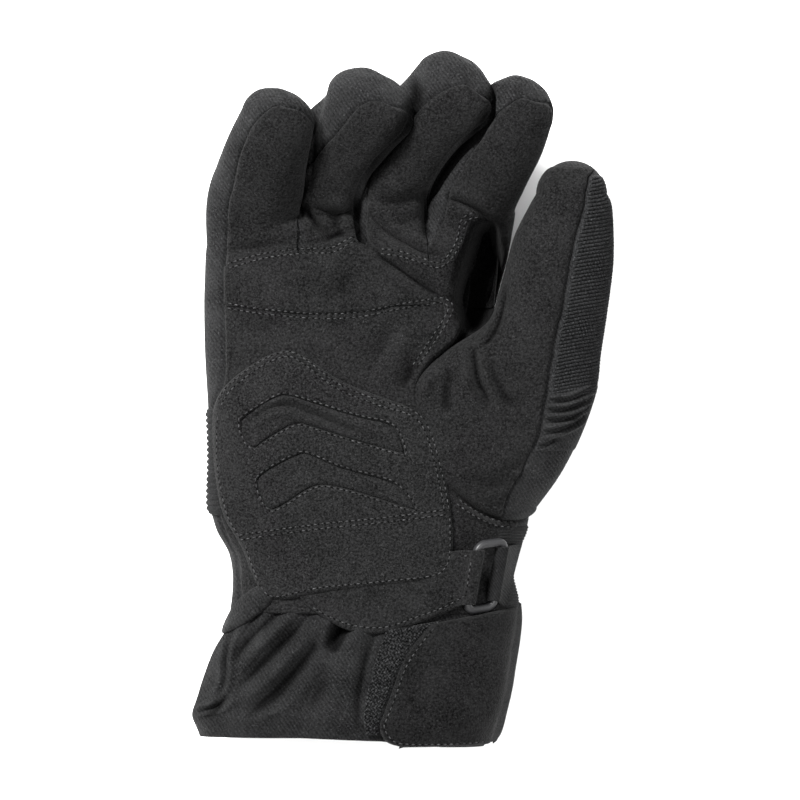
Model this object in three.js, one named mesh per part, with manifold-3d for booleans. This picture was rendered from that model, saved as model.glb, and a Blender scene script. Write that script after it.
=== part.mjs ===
// Right-hand winter glove, lying palm up on the flattened back of the hand.
// +X points to the thumb side, +Y to the fingertips, +Z out of the palm. Millimetres.
// Every length in a table is a share of the named size that its column follows:
// across, left and right of handWidth, along of gloveLength, height, low and top of handDepth.
import * as THREE from 'three';
import { mergeVertices } from 'three/addons/utils/BufferGeometryUtils.js';
import { LoftGeometry } from 'three/addons/geometries/LoftGeometry.js';
import Module from 'manifold-3d';

// Main sizes
const gloveLength = 271;
const handWidth = 118;
const handDepth = 46;
const fingerDepth = 26;
const littleWidth = 36;
const ringWidth = 34;
const middleWidth = 33;
const indexWidth = 35;
const fingerCap = 13;
const thumbCap = 13;
const knuckleCap = 9;
const wristAlong = -0.30;
const knuckleAlong = 0.205;
const cuffSideHeight = 0.85;

// Cloth
const shellWall = 2;
const seamGap = 0.3;
const pressGap = 0.6;
const knucklePatchThick = 1.4;
const heelPatchThick = 3.6;
const windowPadThick = 1.5;
const strapThick = 1.6;
const tabThick = 2.4;
const pileThick = 1.6;
const elasticThick = 1.2;
const elasticRibHigh = 0.9;
const elasticRibPitch = 8.5;
const pleatHigh = 1.6;

// Strap ring
const ringBar = 3.2;
const ringLong = 27;
const ringWide = 15;
const ringLean = 11.5;
const ringTilt = 24;
const ringPlace = { across: 0.268, along: -0.250, high: 0.985 };
const ringEdge = { flat: 0.5, bevel: 0.25, bevelIn: 0.2, round: 0.62 };
const ringSides = 12;

// Sections: how square they are, where 2 is an ellipse, and how many sides the skin and the hollow have
const bodySection = { square: 2.5, skin: 20, hollow: 12 };
const fingerSection = { square: 2.3, skin: 12, hollow: 8 };
const thumbSection = { square: 2.2, skin: 14, hollow: 8 };
const capSteps = 3;
const capEnd = 0.35;
const tipRoundness = 1.06;
const mouthReach = 8;
const finest = 0.1;
const coverHeight = 34;
const coverWide = 1.6;
const layerTop = 2;
const pressedRow = 2;

const wasm = await Module();
wasm.setup();

// Hand and cuff in one run, from the mouth of the cuff to the knuckles
const bodyRows = [
  { along: -0.497, left: -0.675, right: 0.292, low: -0.065, top: 1.26 },
  { along: -0.461, left: -0.699, right: 0.318, low: -0.065, top: 1.27 },
  { along: -0.418, left: -0.679, right: 0.350, low: -0.065, top: 1.20 },
  { along: -0.360, left: -0.633, right: 0.370, low: -0.065, top: 1.10 },
  { along: -0.317, left: -0.577, right: 0.372, low: -0.065, top: 1.04 },
  { along: -0.270, left: -0.556, right: 0.368, low: -0.065, top: 0.98 },
  { along: -0.224, left: -0.564, right: 0.378, low: -0.065, top: 0.96 },
  { along: -0.188, left: -0.608, right: 0.402, low: -0.065, top: 0.98 },
  { along: -0.145, left: -0.636, right: 0.420, low: -0.065, top: 1.00 },
  { along: -0.073, left: -0.634, right: 0.398, low: -0.065, top: 1.00 },
  { along: 0.000, left: -0.640, right: 0.345, low: -0.065, top: 0.97 },
  { along: 0.071, left: -0.650, right: 0.310, low: -0.065, top: 0.92 },
  { along: 0.143, left: -0.652, right: 0.315, low: -0.050, top: 0.88 },
  { along: 0.190, left: -0.651, right: 0.325, low: 0.000, top: 0.86 },
  { along: 0.220, left: -0.646, right: 0.325, low: 0.070, top: 0.84 },
  { along: 0.245, left: -0.635, right: 0.305, low: 0.170, top: 0.80 },
];

// Finger centrelines from inside the palm to the centre of the tip. wide is a share of the finger's width.
const littleRows = [
  { across: -0.494, along: 0.143, height: 0.42, wide: 0.98 },
  { across: -0.491, along: 0.215, height: 0.46, wide: 1.00 },
  { across: -0.487, along: 0.281, height: 0.57, wide: 1.00 },
  { across: -0.466, along: 0.322, height: 0.72, wide: 0.97 },
  { across: -0.438, along: 0.362, height: 0.92, wide: 0.90 },
  { across: -0.403, along: 0.402, height: 1.15, wide: 0.80 },
];
const ringRows = [
  { across: -0.216, along: 0.143, height: 0.42, wide: 0.86 },
  { across: -0.216, along: 0.215, height: 0.46, wide: 0.86 },
  { across: -0.213, along: 0.281, height: 0.57, wide: 0.84 },
  { across: -0.193, along: 0.338, height: 0.76, wide: 0.86 },
  { across: -0.154, along: 0.388, height: 0.97, wide: 0.96 },
  { across: -0.112, along: 0.426, height: 1.14, wide: 1.02 },
];
const middleRows = [
  { across: -0.030, along: 0.143, height: 0.42, wide: 0.97 },
  { across: -0.034, along: 0.215, height: 0.45, wide: 0.97 },
  { across: -0.038, along: 0.266, height: 0.51, wide: 0.97 },
  { across: -0.028, along: 0.316, height: 0.62, wide: 0.95 },
  { across: 0.015, along: 0.359, height: 0.76, wide: 0.95 },
  { across: 0.088, along: 0.405, height: 0.93, wide: 0.98 },
  { across: 0.168, along: 0.452, height: 1.10, wide: 1.04 },
];
const indexRows = [
  { across: 0.206, along: 0.143, height: 0.42, wide: 0.85 },
  { across: 0.218, along: 0.215, height: 0.45, wide: 0.92 },
  { across: 0.226, along: 0.261, height: 0.51, wide: 0.98 },
  { across: 0.240, along: 0.302, height: 0.62, wide: 1.00 },
  { across: 0.290, along: 0.342, height: 0.78, wide: 0.95 },
  { across: 0.345, along: 0.382, height: 0.97, wide: 0.88 },
  { across: 0.385, along: 0.420, height: 1.12, wide: 0.80 },
];

// Suede on the front of a finger, the same on all four: at is the place along the finger, left and right
// are shares of its half width, and the last row runs a share of the cap past the centre of the tip.
const fingerFront = { left: -0.62, right: 0.94, tipLeft: -0.30, tipRight: 0.62, tipReach: 0.45 };

// Thumb with the ball of the thumb, from below the ball to the centre of the tip
const thumbRows = [
  { along: -0.150, left: 0.190, right: 0.455, low: 0.20, top: 0.92 },
  { along: -0.101, left: 0.157, right: 0.534, low: 0.17, top: 1.06 },
  { along: -0.044, left: 0.125, right: 0.600, low: 0.19, top: 1.12 },
  { along: 0.019, left: 0.155, right: 0.650, low: 0.24, top: 1.15 },
  { along: 0.071, left: 0.235, right: 0.663, low: 0.32, top: 1.18 },
  { along: 0.115, left: 0.305, right: 0.676, low: 0.42, top: 1.22 },
  { along: 0.158, left: 0.340, right: 0.688, low: 0.52, top: 1.26 },
  { along: 0.201, left: 0.357, right: 0.699, low: 0.60, top: 1.30 },
  { along: 0.241, left: 0.386, right: 0.699, low: 0.68, top: 1.32 },
  { along: 0.281, left: 0.432, right: 0.692, low: 0.74, top: 1.32 },
  { along: 0.298, left: 0.455, right: 0.676, low: 0.77, top: 1.31 },
];

// Seam between the thumb's front and its outer side, for each row above, as a share of the half width
const thumbSeam = [0.10, 0.28, 0.44, 0.38, 0.30, 0.22, 0.16, 0.13, 0.12, 0.14, 0.30, 1.40];
const thumbFrontLow = 0;
const thumbSideLow = -0.55;
const knitFromAlong = 0.050;
const knitToAlong = 0.300;
const pleatFromAlong = -0.026;
const pleatCount = 4;
const pleatShare = 0.6;

// Suede palm on the hand: left and right seams as shares of the half width of the section
const palmFrontLow = 0.05;
const palmSeams = [
  { along: -0.300, left: -0.94, right: 0.93 },
  { along: -0.188, left: -0.94, right: 0.93 },
  { along: -0.073, left: -0.92, right: 0.95 },
  { along: 0.071, left: -0.88, right: 0.96 },
  { along: 0.245, left: -0.80, right: 0.90 },
];

// Folds of the cuff, fanning down and left from under the strap
const cuffFolds = [
  { fromAcross: -0.30, fromAlong: -0.305, toAcross: -0.55, toAlong: -0.400, wide: 0.035, high: 0.060 },
  { fromAcross: -0.24, fromAlong: -0.310, toAcross: -0.42, toAlong: -0.450, wide: 0.040, high: 0.075 },
  { fromAcross: -0.17, fromAlong: -0.320, toAcross: -0.26, toAlong: -0.450, wide: 0.035, high: 0.055 },
];

// Outlines seen from above
const knuckleOutline = [
  [-0.585, 0.197], [-0.44, 0.213], [-0.27, 0.218], [-0.15, 0.233], [-0.07, 0.218], [0.05, 0.214],
  [0.13, 0.201], [0.19, 0.222], [0.225, 0.262], [0.255, 0.262], [0.24, 0.200], [0.225, 0.150],
  [0.21, 0.115], [0.165, 0.078], [0.115, 0.062], [0.10, 0.080], [0.14, 0.112], [0.13, 0.146],
  [0.0, 0.143], [-0.10, 0.132], [-0.28, 0.129], [-0.45, 0.134], [-0.585, 0.143],
];
const heelOutline = [
  [-0.620, -0.010], [-0.577, 0.035], [-0.481, 0.067], [-0.405, 0.083], [-0.329, 0.076], [-0.187, 0.035],
  [-0.028, 0.021], [0.074, -0.002], [0.137, -0.044], [0.164, -0.099], [0.177, -0.160], [0.177, -0.217],
  [0.144, -0.250], [0.068, -0.266], [-0.296, -0.281], [-0.411, -0.283], [-0.471, -0.267], [-0.507, -0.230],
  [-0.535, -0.195], [-0.600, -0.145], [-0.613, -0.090],
];
const upperWindow = [
  [-0.530, -0.030], [-0.441, 0.009], [-0.375, 0.019], [-0.193, -0.005], [-0.041, -0.028], [0.025, -0.071],
  [-0.084, -0.063], [-0.250, -0.038], [-0.355, -0.024], [-0.495, -0.067],
];
const lowerWindow = [
  [-0.478, -0.105], [-0.319, -0.065], [-0.193, -0.084], [-0.018, -0.110], [0.055, -0.150],
  [-0.058, -0.139], [-0.193, -0.120], [-0.290, -0.117], [-0.430, -0.156],
];
const strapOutline = [
  [-0.335, -0.275], [-0.270, -0.302], [-0.185, -0.327], [-0.050, -0.329], [0.070, -0.313], [0.190, -0.300],
  [0.262, -0.213], [0.170, -0.209], [0.10, -0.220], [-0.10, -0.235],
];
const keeperOutline = [
  [0.330, -0.209], [0.470, -0.205], [0.470, -0.289], [0.285, -0.289],
];
const tabOutline = [
  [0.062, -0.345], [0.125, -0.311], [0.240, -0.303], [0.460, -0.298], [0.460, -0.380], [0.420, -0.497],
  [0.0, -0.497], [-0.045, -0.491], [-0.062, -0.470], [-0.035, -0.417], [0.008, -0.382],
];
const pileOutline = [
  [-0.045, -0.330], [0.081, -0.314], [0.190, -0.330], [0.190, -0.484], [-0.100, -0.484], [-0.114, -0.453],
  [-0.081, -0.372],
];
const tuckOutline = [
  [-0.470, -0.300], [-0.575, -0.316], [-0.600, -0.355], [-0.560, -0.352], [-0.480, -0.325],
];
const leftElastic = { fromAlong: -0.165, toAlong: -0.010, low: 0.24, high: 0.66 };
const rightElastic = { fromAlong: -0.285, toAlong: -0.175, low: 0.14, high: 0.50 };
const elasticRib = { from: 0.25, to: 0.75 };
const layerLow = 0.5;
const keeperLow = 0.52;
const tabLow = 0.42;

const mix = (from, to, share) => from + (to - from) * share;

// Value of a column of a table at any place along the glove, straight between its rows
function readRow(rows, along, column) {
  const next = rows.findIndex((row) => row.along > along);
  if (next === -1) return rows.at(-1)[column];
  if (next === 0) return rows[0][column];
  const [from, to] = [rows[next - 1], rows[next]];
  return mix(from[column], to[column], (along - from.along) / (to.along - from.along));
}

function solidOf(geometry) {
  const plain = new THREE.BufferGeometry().copy(geometry);
  plain.deleteAttribute('normal');
  plain.deleteAttribute('uv');
  const merged = mergeVertices(plain, 1e-4);
  const triVerts = [];
  for (let i = 0; i < merged.index.count; i += 3) {
    const [a, b, c] = [0, 1, 2].map((corner) => merged.index.getX(i + corner));
    if (a !== b && b !== c && c !== a) triVerts.push(a, b, c);
  }
  return new wasm.Manifold(new wasm.Mesh({
    numProp: 3,
    vertProperties: new Float32Array(merged.attributes.position.array),
    triVerts: new Uint32Array(triVerts),
  }));
}

const loft = (sections) => solidOf(new LoftGeometry(sections, { capStart: true, capEnd: true }));
const join = (solids) => solids.reduce((all, solid) => all.add(solid));

// Height of the cuff's folds above its plain surface: a rounded ridge along each line of the table
function foldHeight(x, y) {
  return cuffFolds.reduce((sum, fold) => {
    const from = new THREE.Vector2(fold.fromAcross * handWidth, fold.fromAlong * gloveLength);
    const run = new THREE.Vector2(fold.toAcross * handWidth, fold.toAlong * gloveLength).sub(from);
    const offset = new THREE.Vector2(x, y).sub(from);
    const place = offset.dot(run) / run.lengthSq();
    const aside = offset.cross(run) / run.length() / (fold.wide * handWidth);
    const fade = Math.max(0, 1 - (2 * place - 1) ** 2);
    return sum + fold.high * handDepth * fade * Math.exp(-aside * aside);
  }, 0);
}

// Rounded section, counterclockwise as seen from the end of the loft
function roundSection({ centre, side, lift, wide, deep }, { square, sides }, folded = false) {
  return Array.from({ length: sides }, (unused, index) => {
    const angle = -2 * Math.PI * index / sides;
    const across = Math.sign(Math.cos(angle)) * Math.abs(Math.cos(angle)) ** (2 / square);
    const up = Math.sign(Math.sin(angle)) * Math.abs(Math.sin(angle)) ** (2 / square);
    const point = centre.clone().addScaledVector(side, wide * across).addScaledVector(lift, deep * up);
    if (up > 0 && folded) point.z += foldHeight(point.x, point.y) * Math.min(1, 2 * up);
    return point;
  });
}

// Sections that close a loft with a rounded cap past its last station
function capSections(station, length, grow, section, direction = 1) {
  return Array.from({ length: capSteps }, (unused, index) => {
    const angle = Math.PI / 2 * (index + 1) / (capSteps + capEnd);
    const reach = direction * (length + grow) * Math.sin(angle);
    return roundSection({
      ...station,
      centre: station.centre.clone().addScaledVector(station.ahead, reach),
      wide: station.wide * Math.cos(angle),
      deep: station.deep * Math.cos(angle),
    }, section);
  });
}

const ahead = new THREE.Vector3(0, 1, 0);
const aside = new THREE.Vector3(1, 0, 0);
const above = new THREE.Vector3(0, 0, 1);

// Upright stations, with their sections across the glove
function uprightStations(rows, grow) {
  return rows.map(({ along, left, right, low, top }) => ({
    centre: new THREE.Vector3(
      (left + right) / 2 * handWidth, along * gloveLength, (low + top) / 2 * handDepth),
    ahead,
    side: aside,
    lift: above,
    wide: (right - left) / 2 * handWidth + grow,
    deep: (top - low) / 2 * handDepth + grow,
  }));
}

// Stations that turn with a finger's centreline
function fingerStations(finger, grow) {
  const centres = finger.rows.map(({ across, along, height }) => (
    new THREE.Vector3(across * handWidth, along * gloveLength, height * handDepth)));
  return finger.rows.map((row, index) => {
    const from = centres[Math.max(index - 1, 0)];
    const to = centres[Math.min(index + 1, centres.length - 1)];
    const direction = to.clone().sub(from).normalize();
    const side = direction.clone().cross(above).normalize();
    return {
      centre: centres[index],
      ahead: direction,
      side,
      lift: side.clone().cross(direction),
      wide: row.wide * finger.width / 2 + grow,
      deep: Math.min(row.wide * tipRoundness, 1) * fingerDepth / 2 + grow,
    };
  });
}

const sectionFor = ({ square, skin, hollow }, grow) => ({ square, sides: grow < 0 ? hollow : skin });

// Hand and cuff grown by a distance, or shrunk to the hollow, which opens past the mouth
function bodyForm(grow) {
  const section = sectionFor(bodySection, grow);
  const stations = uprightStations(bodyRows, grow);
  const sections = stations.map((station) => roundSection(station, section, true));
  sections.push(...capSections(stations.at(-1), knuckleCap, grow, section));
  const pastMouth = (point) => point.clone().addScaledVector(ahead, -mouthReach);
  if (grow < 0) sections.unshift(sections[0].map(pastMouth));
  return loft(sections);
}

function fingerForm(finger, grow, first = 0) {
  const section = sectionFor(fingerSection, grow);
  const stations = fingerStations(finger, grow);
  const sections = stations.slice(first).map((station) => roundSection(station, section));
  return loft([...sections, ...capSections(stations.at(-1), fingerCap, grow, section)]);
}

function thumbForm(grow) {
  const section = sectionFor(thumbSection, grow);
  const stations = uprightStations(thumbRows, grow);
  const start = capSections(stations[0], thumbCap / 2, grow, section, -1).reverse();
  const sections = stations.map((station) => roundSection(station, section));
  return loft([...start, ...sections, ...capSections(stations.at(-1), thumbCap, grow, section)]);
}

// Block over one side of a limb, from a low line to well above it, that cuts its shell at the seams.
// Each row of spans gives left, right and low as shares of the station's half width and half depth.
function coverForm(stations, spans, grow) {
  return loft(stations.map(({ centre, side, lift, wide, deep }, index) => {
    const { left, right, low, top = coverHeight / deep } = spans[index];
    const corner = (across, up) => centre.clone().addScaledVector(side, across).addScaledVector(lift, up);
    return [
      corner(left * wide - grow, low * deep - grow),
      corner(left * wide - grow, top * deep + grow),
      corner(right * wide + grow, top * deep + grow),
      corner(right * wide + grow, low * deep - grow),
    ];
  }));
}

function fingerCover(finger, grow) {
  const { left, right, tipLeft, tipRight, tipReach } = fingerFront;
  const stations = fingerStations(finger, 0);
  const tip = stations.at(-1);
  const reach = tipReach * fingerCap + grow;
  stations.push({ ...tip, centre: tip.centre.clone().addScaledVector(tip.ahead, reach) });
  const spans = stations.map((station, index) => (
    index === stations.length - 1 ? { left: tipLeft, right: tipRight, low: 0 } : { left, right, low: 0 }));
  return coverForm(stations, spans, grow);
}

// Upright block with the outline of a piece, between two heights
function outlineBlock(points, grow, low, high) {
  const corners = points.map(([across, along]) => new THREE.Vector2(across * handWidth, along * gloveLength));
  const turn = THREE.ShapeUtils.isClockWise(corners) ? -1 : 1;
  const grown = corners.map((corner, index) => {
    const before = corner.clone().sub(corners.at(index - 1)).normalize();
    const after = corners[(index + 1) % corners.length].clone().sub(corner).normalize();
    const outward = new THREE.Vector2(before.y + after.y, -before.x - after.x).normalize();
    return corner.clone().addScaledVector(outward, grow * turn);
  });
  const settings = { depth: high - low, bevelEnabled: false };
  const geometry = new THREE.ExtrudeGeometry(new THREE.Shape(grown), settings);
  geometry.translate(0, 0, low);
  return solidOf(geometry);
}

function slab(low, high) {
  const size = new THREE.Vector3().subVectors(high, low);
  const geometry = new THREE.BoxGeometry(size.x, size.y, size.z);
  geometry.translate(...low.clone().addScaledVector(size, 0.5));
  return solidOf(geometry);
}

const fingers = [
  { name: 'little', rows: littleRows, width: littleWidth },
  { name: 'ring', rows: ringRows, width: ringWidth },
  { name: 'middle', rows: middleRows, width: middleWidth },
  { name: 'index', rows: indexRows, width: indexWidth },
];
const farAway = 2 * gloveLength;
const aboveFloor = (height) => slab(
  new THREE.Vector3(-farAway, -farAway, height), new THREE.Vector3(farAway, farAway, farAway));
const beyond = (along, gap) => slab(
  new THREE.Vector3(-farAway, along * gloveLength + gap, -farAway),
  new THREE.Vector3(farAway, farAway, farAway));
const beyondWrist = (gap) => beyond(wristAlong, gap);

// Outside of the whole glove at a distance from its cloth
const outsideForms = new Map();
function outsideAt(grow) {
  if (!outsideForms.has(grow)) {
    outsideForms.set(grow, join([
      bodyForm(grow), thumbForm(grow), ...fingers.map((finger) => fingerForm(finger, grow))]));
  }
  return outsideForms.get(grow);
}

// A finger is pressed in where the finger before it, nearer the little finger, lies against it
function pressedFinger(index, grow) {
  const form = fingerForm(fingers[index], grow);
  if (index === 0) return form;
  return form.subtract(fingerForm(fingers[index - 1], pressGap - Math.min(grow, 0), pressedRow));
}

const outside = join([
  bodyForm(0), thumbForm(0), ...fingers.map((finger, index) => pressedFinger(index, 0)),
]).intersect(aboveFloor(0));
const hollow = join([
  bodyForm(-shellWall).intersect(aboveFloor(shellWall)),
  thumbForm(-shellWall),
  ...fingers.map((finger, index) => pressedFinger(index, -shellWall)),
]);
const shell = outside.subtract(hollow);

// Largest body of a cut, without the crumbs that seams leave beside it
const volumeOf = (solid) => Math.abs(solid.volume());
const larger = (best, body) => (volumeOf(body) > volumeOf(best) ? body : best);
const mainBody = (solid) => solid.simplify(finest).decompose().reduce(larger);

const bodyStations = uprightStations(bodyRows, 0);
const bodySpans = bodyRows.map(({ along }) => ({
  left: readRow(palmSeams, along, 'left'), right: readRow(palmSeams, along, 'right'), low: palmFrontLow }));
const palmCover = (grow) => join([
  coverForm(bodyStations, bodySpans, grow), ...fingers.map((finger) => fingerCover(finger, grow))]);

const handShell = shell.intersect(beyondWrist(seamGap / 2));
const handWithoutThumb = handShell.subtract(thumbForm(seamGap));
const frontCloth = handWithoutThumb.intersect(palmCover(0));
const backCloth = handWithoutThumb.subtract(palmCover(seamGap));
const cuffCloth = shell.subtract(beyondWrist(-seamGap / 2));
const cuffShell = mainBody(cuffCloth.intersect(aboveFloor(cuffSideHeight * handDepth)));
const cuffBack = mainBody(cuffCloth.subtract(aboveFloor(cuffSideHeight * handDepth - seamGap)));

// The fingers are sewn on at the knuckles. The cloth of each is what lies within its own form.
const allFingers = beyond(knuckleAlong, -seamGap).intersect(
  join(fingers.map((finger) => fingerForm(finger, seamGap))));
const fingerZones = fingers.map((finger, index) => {
  const zone = fingerForm(finger, 0).intersect(beyond(knuckleAlong, 0));
  return index === 0 ? zone : zone.subtract(fingerForm(fingers[index - 1], seamGap));
});
const palmPanel = mainBody(frontCloth.subtract(allFingers));
const backShell = mainBody(backCloth.subtract(allFingers));
const fingerFronts = fingerZones.map((zone) => mainBody(frontCloth.intersect(zone)));
const fingerBacks = fingerZones.map((zone) => mainBody(backCloth.intersect(zone)));

// Thumb: suede front, knitted outer side, a band of pleats and the softshell back
const thumbStations = uprightStations(thumbRows, 0);
const thumbTip = thumbStations.at(-1);
const longThumb = [
  ...thumbStations, { ...thumbTip, centre: thumbTip.centre.clone().addScaledVector(ahead, 2 * thumbCap) }];
const thumbShell = mainBody(handShell.intersect(thumbForm(0)));
const frontCover = (grow) => coverForm(
  longThumb, thumbSeam.map((seam) => ({ left: -coverWide, right: seam, low: thumbFrontLow })), grow);
const sideCover = (grow) => coverForm(
  longThumb, thumbSeam.map((seam) => ({ left: seam, right: coverWide, low: thumbSideLow })), grow);
const acrossBand = (fromAlong, toAlong) => slab(
  new THREE.Vector3(-farAway, fromAlong * gloveLength, -farAway),
  new THREE.Vector3(farAway, toAlong * gloveLength, farAway));
const knitBand = (grow) => acrossBand(
  knitFromAlong - grow / gloveLength, knitToAlong + grow / gloveLength);
const pleatBand = (grow) => acrossBand(
  pleatFromAlong - grow / gloveLength, knitFromAlong - (seamGap - grow) / gloveLength);
const sidePart = thumbShell.intersect(sideCover(0)).subtract(frontCover(seamGap));
const thumbFront = mainBody(thumbShell.intersect(frontCover(0)));
const thumbKnit = mainBody(sidePart.intersect(knitBand(0)));
const pleatStep = (knitFromAlong - pleatFromAlong) / pleatCount;
const pleatRidges = Array.from({ length: pleatCount }, (unused, index) => {
  const start = pleatFromAlong + (index + (1 - pleatShare) / 2) * pleatStep;
  return thumbForm(pleatHigh).subtract(thumbForm(-shellWall / 2))
    .intersect(sideCover(0)).subtract(frontCover(seamGap))
    .intersect(acrossBand(start, start + pleatShare * pleatStep))
    .subtract(bodyForm(seamGap));
});
const thumbPleats = mainBody(join([sidePart.intersect(pleatBand(0)), ...pleatRidges]));
const thumbBack = mainBody(thumbShell.subtract(frontCover(seamGap))
  .subtract(sideCover(seamGap).intersect(join([knitBand(seamGap), pleatBand(seamGap)]))));

// A layer of cloth laid on the glove: its underside and thickness are distances from the glove's cloth
function layer(points, underside, thick, { low = layerLow, inset = 0 } = {}) {
  return outsideAt(underside + thick).subtract(outsideAt(underside))
    .intersect(outlineBlock(points, -inset, low * handDepth, layerTop * handDepth));
}

const knucklePatch = mainBody(layer(knuckleOutline, seamGap, knucklePatchThick));

const strapBase = layer(strapOutline, seamGap, strapThick);
const heelPatch = mainBody(layer(heelOutline, seamGap, heelPatchThick)
  .subtract(layer(strapOutline, 0, strapThick + 2 * seamGap, { inset: -seamGap }))
  .subtract(layer(knuckleOutline, 0, knucklePatchThick + 2 * seamGap, { inset: -seamGap }))
  .subtract(outlineBlock(upperWindow, 0, 0, layerTop * handDepth))
  .subtract(outlineBlock(lowerWindow, 0, 0, layerTop * handDepth)));
const upperPad = mainBody(layer(upperWindow, seamGap, windowPadThick, { inset: seamGap }));
const lowerPad = mainBody(layer(lowerWindow, seamGap, windowPadThick, { inset: seamGap }));

// Ring: a flat rectangular loop that carries the strap on one long bar and the keeper on the other
function ringLocal() {
  const outline = new THREE.Shape();
  const corner = ringBar;
  const [w, l] = [ringWide / 2, ringLong / 2];
  outline.moveTo(-w + corner, -l);
  outline.lineTo(w - corner, -l);
  outline.absarc(w - corner, -l + corner, corner, -Math.PI / 2, 0);
  outline.lineTo(w, l - corner);
  outline.absarc(w - corner, l - corner, corner, 0, Math.PI / 2);
  outline.lineTo(-w + corner, l);
  outline.absarc(-w + corner, l - corner, corner, Math.PI / 2, Math.PI);
  outline.lineTo(-w, -l + corner);
  outline.absarc(-w + corner, -l + corner, corner, Math.PI, 1.5 * Math.PI);
  const [iw, il] = [w - ringBar, l - ringBar];
  const inner = [[-iw, -il], [-iw, il], [iw, il], [iw, -il]];
  outline.holes.push(new THREE.Path(inner.map(([x, y]) => new THREE.Vector2(x, y))));
  const geometry = new THREE.ExtrudeGeometry(outline, {
    depth: ringBar * ringEdge.flat,
    bevelThickness: ringBar * ringEdge.bevel,
    bevelSize: ringBar * ringEdge.bevelIn,
    bevelOffset: -ringBar * ringEdge.bevelIn,
    bevelSegments: 1,
    curveSegments: 3,
  });
  geometry.translate(0, 0, -ringBar * ringEdge.flat / 2);
  return geometry;
}
const ringTurn = new THREE.Euler(
  0, THREE.MathUtils.degToRad(ringTilt), THREE.MathUtils.degToRad(-ringLean), 'ZYX');
const ringCentre = new THREE.Vector3(
  ringPlace.across * handWidth, ringPlace.along * gloveLength, ringPlace.high * handDepth);
const ringMatrix = new THREE.Matrix4().compose(
  ringCentre, new THREE.Quaternion().setFromEuler(ringTurn), new THREE.Vector3(1, 1, 1));

// Sleeve of cloth round one long bar of the ring
const sleeveLength = ringLong - 2 * ringBar - 2 * seamGap;
function barRound(sideSign, radius, length) {
  const geometry = new THREE.CylinderGeometry(radius, radius, length, ringSides);
  geometry.translate(sideSign * (ringWide - ringBar) / 2, 0, 0);
  geometry.applyMatrix4(ringMatrix);
  return solidOf(geometry);
}
const barRadius = ringBar * ringEdge.round + seamGap;
const barHole = (sideSign) => barRound(sideSign, barRadius, ringLong);
const sleeve = (sideSign, thick) => barRound(sideSign, barRadius + thick, sleeveLength);
const ringSpace = (gap) => {
  const geometry = new THREE.BoxGeometry(ringWide + 2 * gap, ringLong + 2 * gap, ringBar + 2 * gap);
  return solidOf(geometry.applyMatrix4(ringMatrix));
};

const ringSolid = solidOf(ringLocal().applyMatrix4(ringMatrix));
const wristStrap = mainBody(strapBase.add(sleeve(-1, strapThick).subtract(outsideAt(seamGap)))
  .subtract(barHole(-1)));
const ringKeeper = mainBody(layer(keeperOutline, seamGap, strapThick, { low: keeperLow })
  .add(sleeve(1, strapThick).subtract(outsideAt(seamGap)))
  .subtract(barHole(1)));

const pileStrip = mainBody(layer(pileOutline, seamGap, pileThick));
const tabUnder = 2 * seamGap + pileThick;
const cuffTab = mainBody(layer(tabOutline, tabUnder, tabThick, { low: tabLow })
  .subtract(layer(strapOutline, 0, strapThick + 2 * seamGap, { inset: -seamGap }))
  .subtract(ringSpace(seamGap)));
const wristTuck = mainBody(layer(tuckOutline, seamGap, strapThick)
  .subtract(layer(heelOutline, 0, heelPatchThick + 2 * seamGap, { inset: -seamGap })));

// Ribbed elastic round one side of the wrist
function elastic(zone, sideSign) {
  const band = (grow, from, to) => bodyForm(grow).subtract(bodyForm(seamGap)).intersect(slab(
    new THREE.Vector3(sideSign > 0 ? 0 : -farAway, from, zone.low * handDepth),
    new THREE.Vector3(sideSign > 0 ? farAway : 0, to, zone.high * handDepth)));
  const [from, to] = [zone.fromAlong * gloveLength, zone.toAlong * gloveLength];
  const count = Math.max(2, Math.round((to - from) / elasticRibPitch));
  const pitch = (to - from) / count;
  const ribAt = (index, share) => from + (index + share) * pitch;
  const ribTop = seamGap + elasticThick + elasticRibHigh;
  const ribs = Array.from({ length: count }, (unused, index) => (
    band(ribTop, ribAt(index, elasticRib.from), ribAt(index, elasticRib.to))));
  return mainBody(join([band(seamGap + elasticThick, from, to), ...ribs]));
}

const suede = { color: 0x2f2f31, roughness: 0.95, metalness: 0 };
const darkSuede = { color: 0x2b2b2c, roughness: 0.9, metalness: 0 };
const softshell = { color: 0x38393b, roughness: 0.85, metalness: 0 };
const knit = { color: 0x28292b, roughness: 0.9, metalness: 0 };
const pile = { color: 0x252527, roughness: 1, metalness: 0 };
const ribbed = { color: 0x1f2021, roughness: 0.8, metalness: 0 };
const dullMetal = { color: 0x45474a, roughness: 0.45, metalness: 0.6 };

const glove = new THREE.Group();
function addPiece(name, solid, material) {
  const { vertProperties, triVerts } = solid.getMesh();
  const geometry = new THREE.BufferGeometry();
  geometry.setAttribute('position', new THREE.BufferAttribute(vertProperties, 3));
  geometry.setIndex(new THREE.BufferAttribute(triVerts, 1));
  geometry.computeVertexNormals();
  const mesh = new THREE.Mesh(geometry, new THREE.MeshStandardMaterial(material));
  mesh.name = name;
  glove.add(mesh);
}

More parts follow.
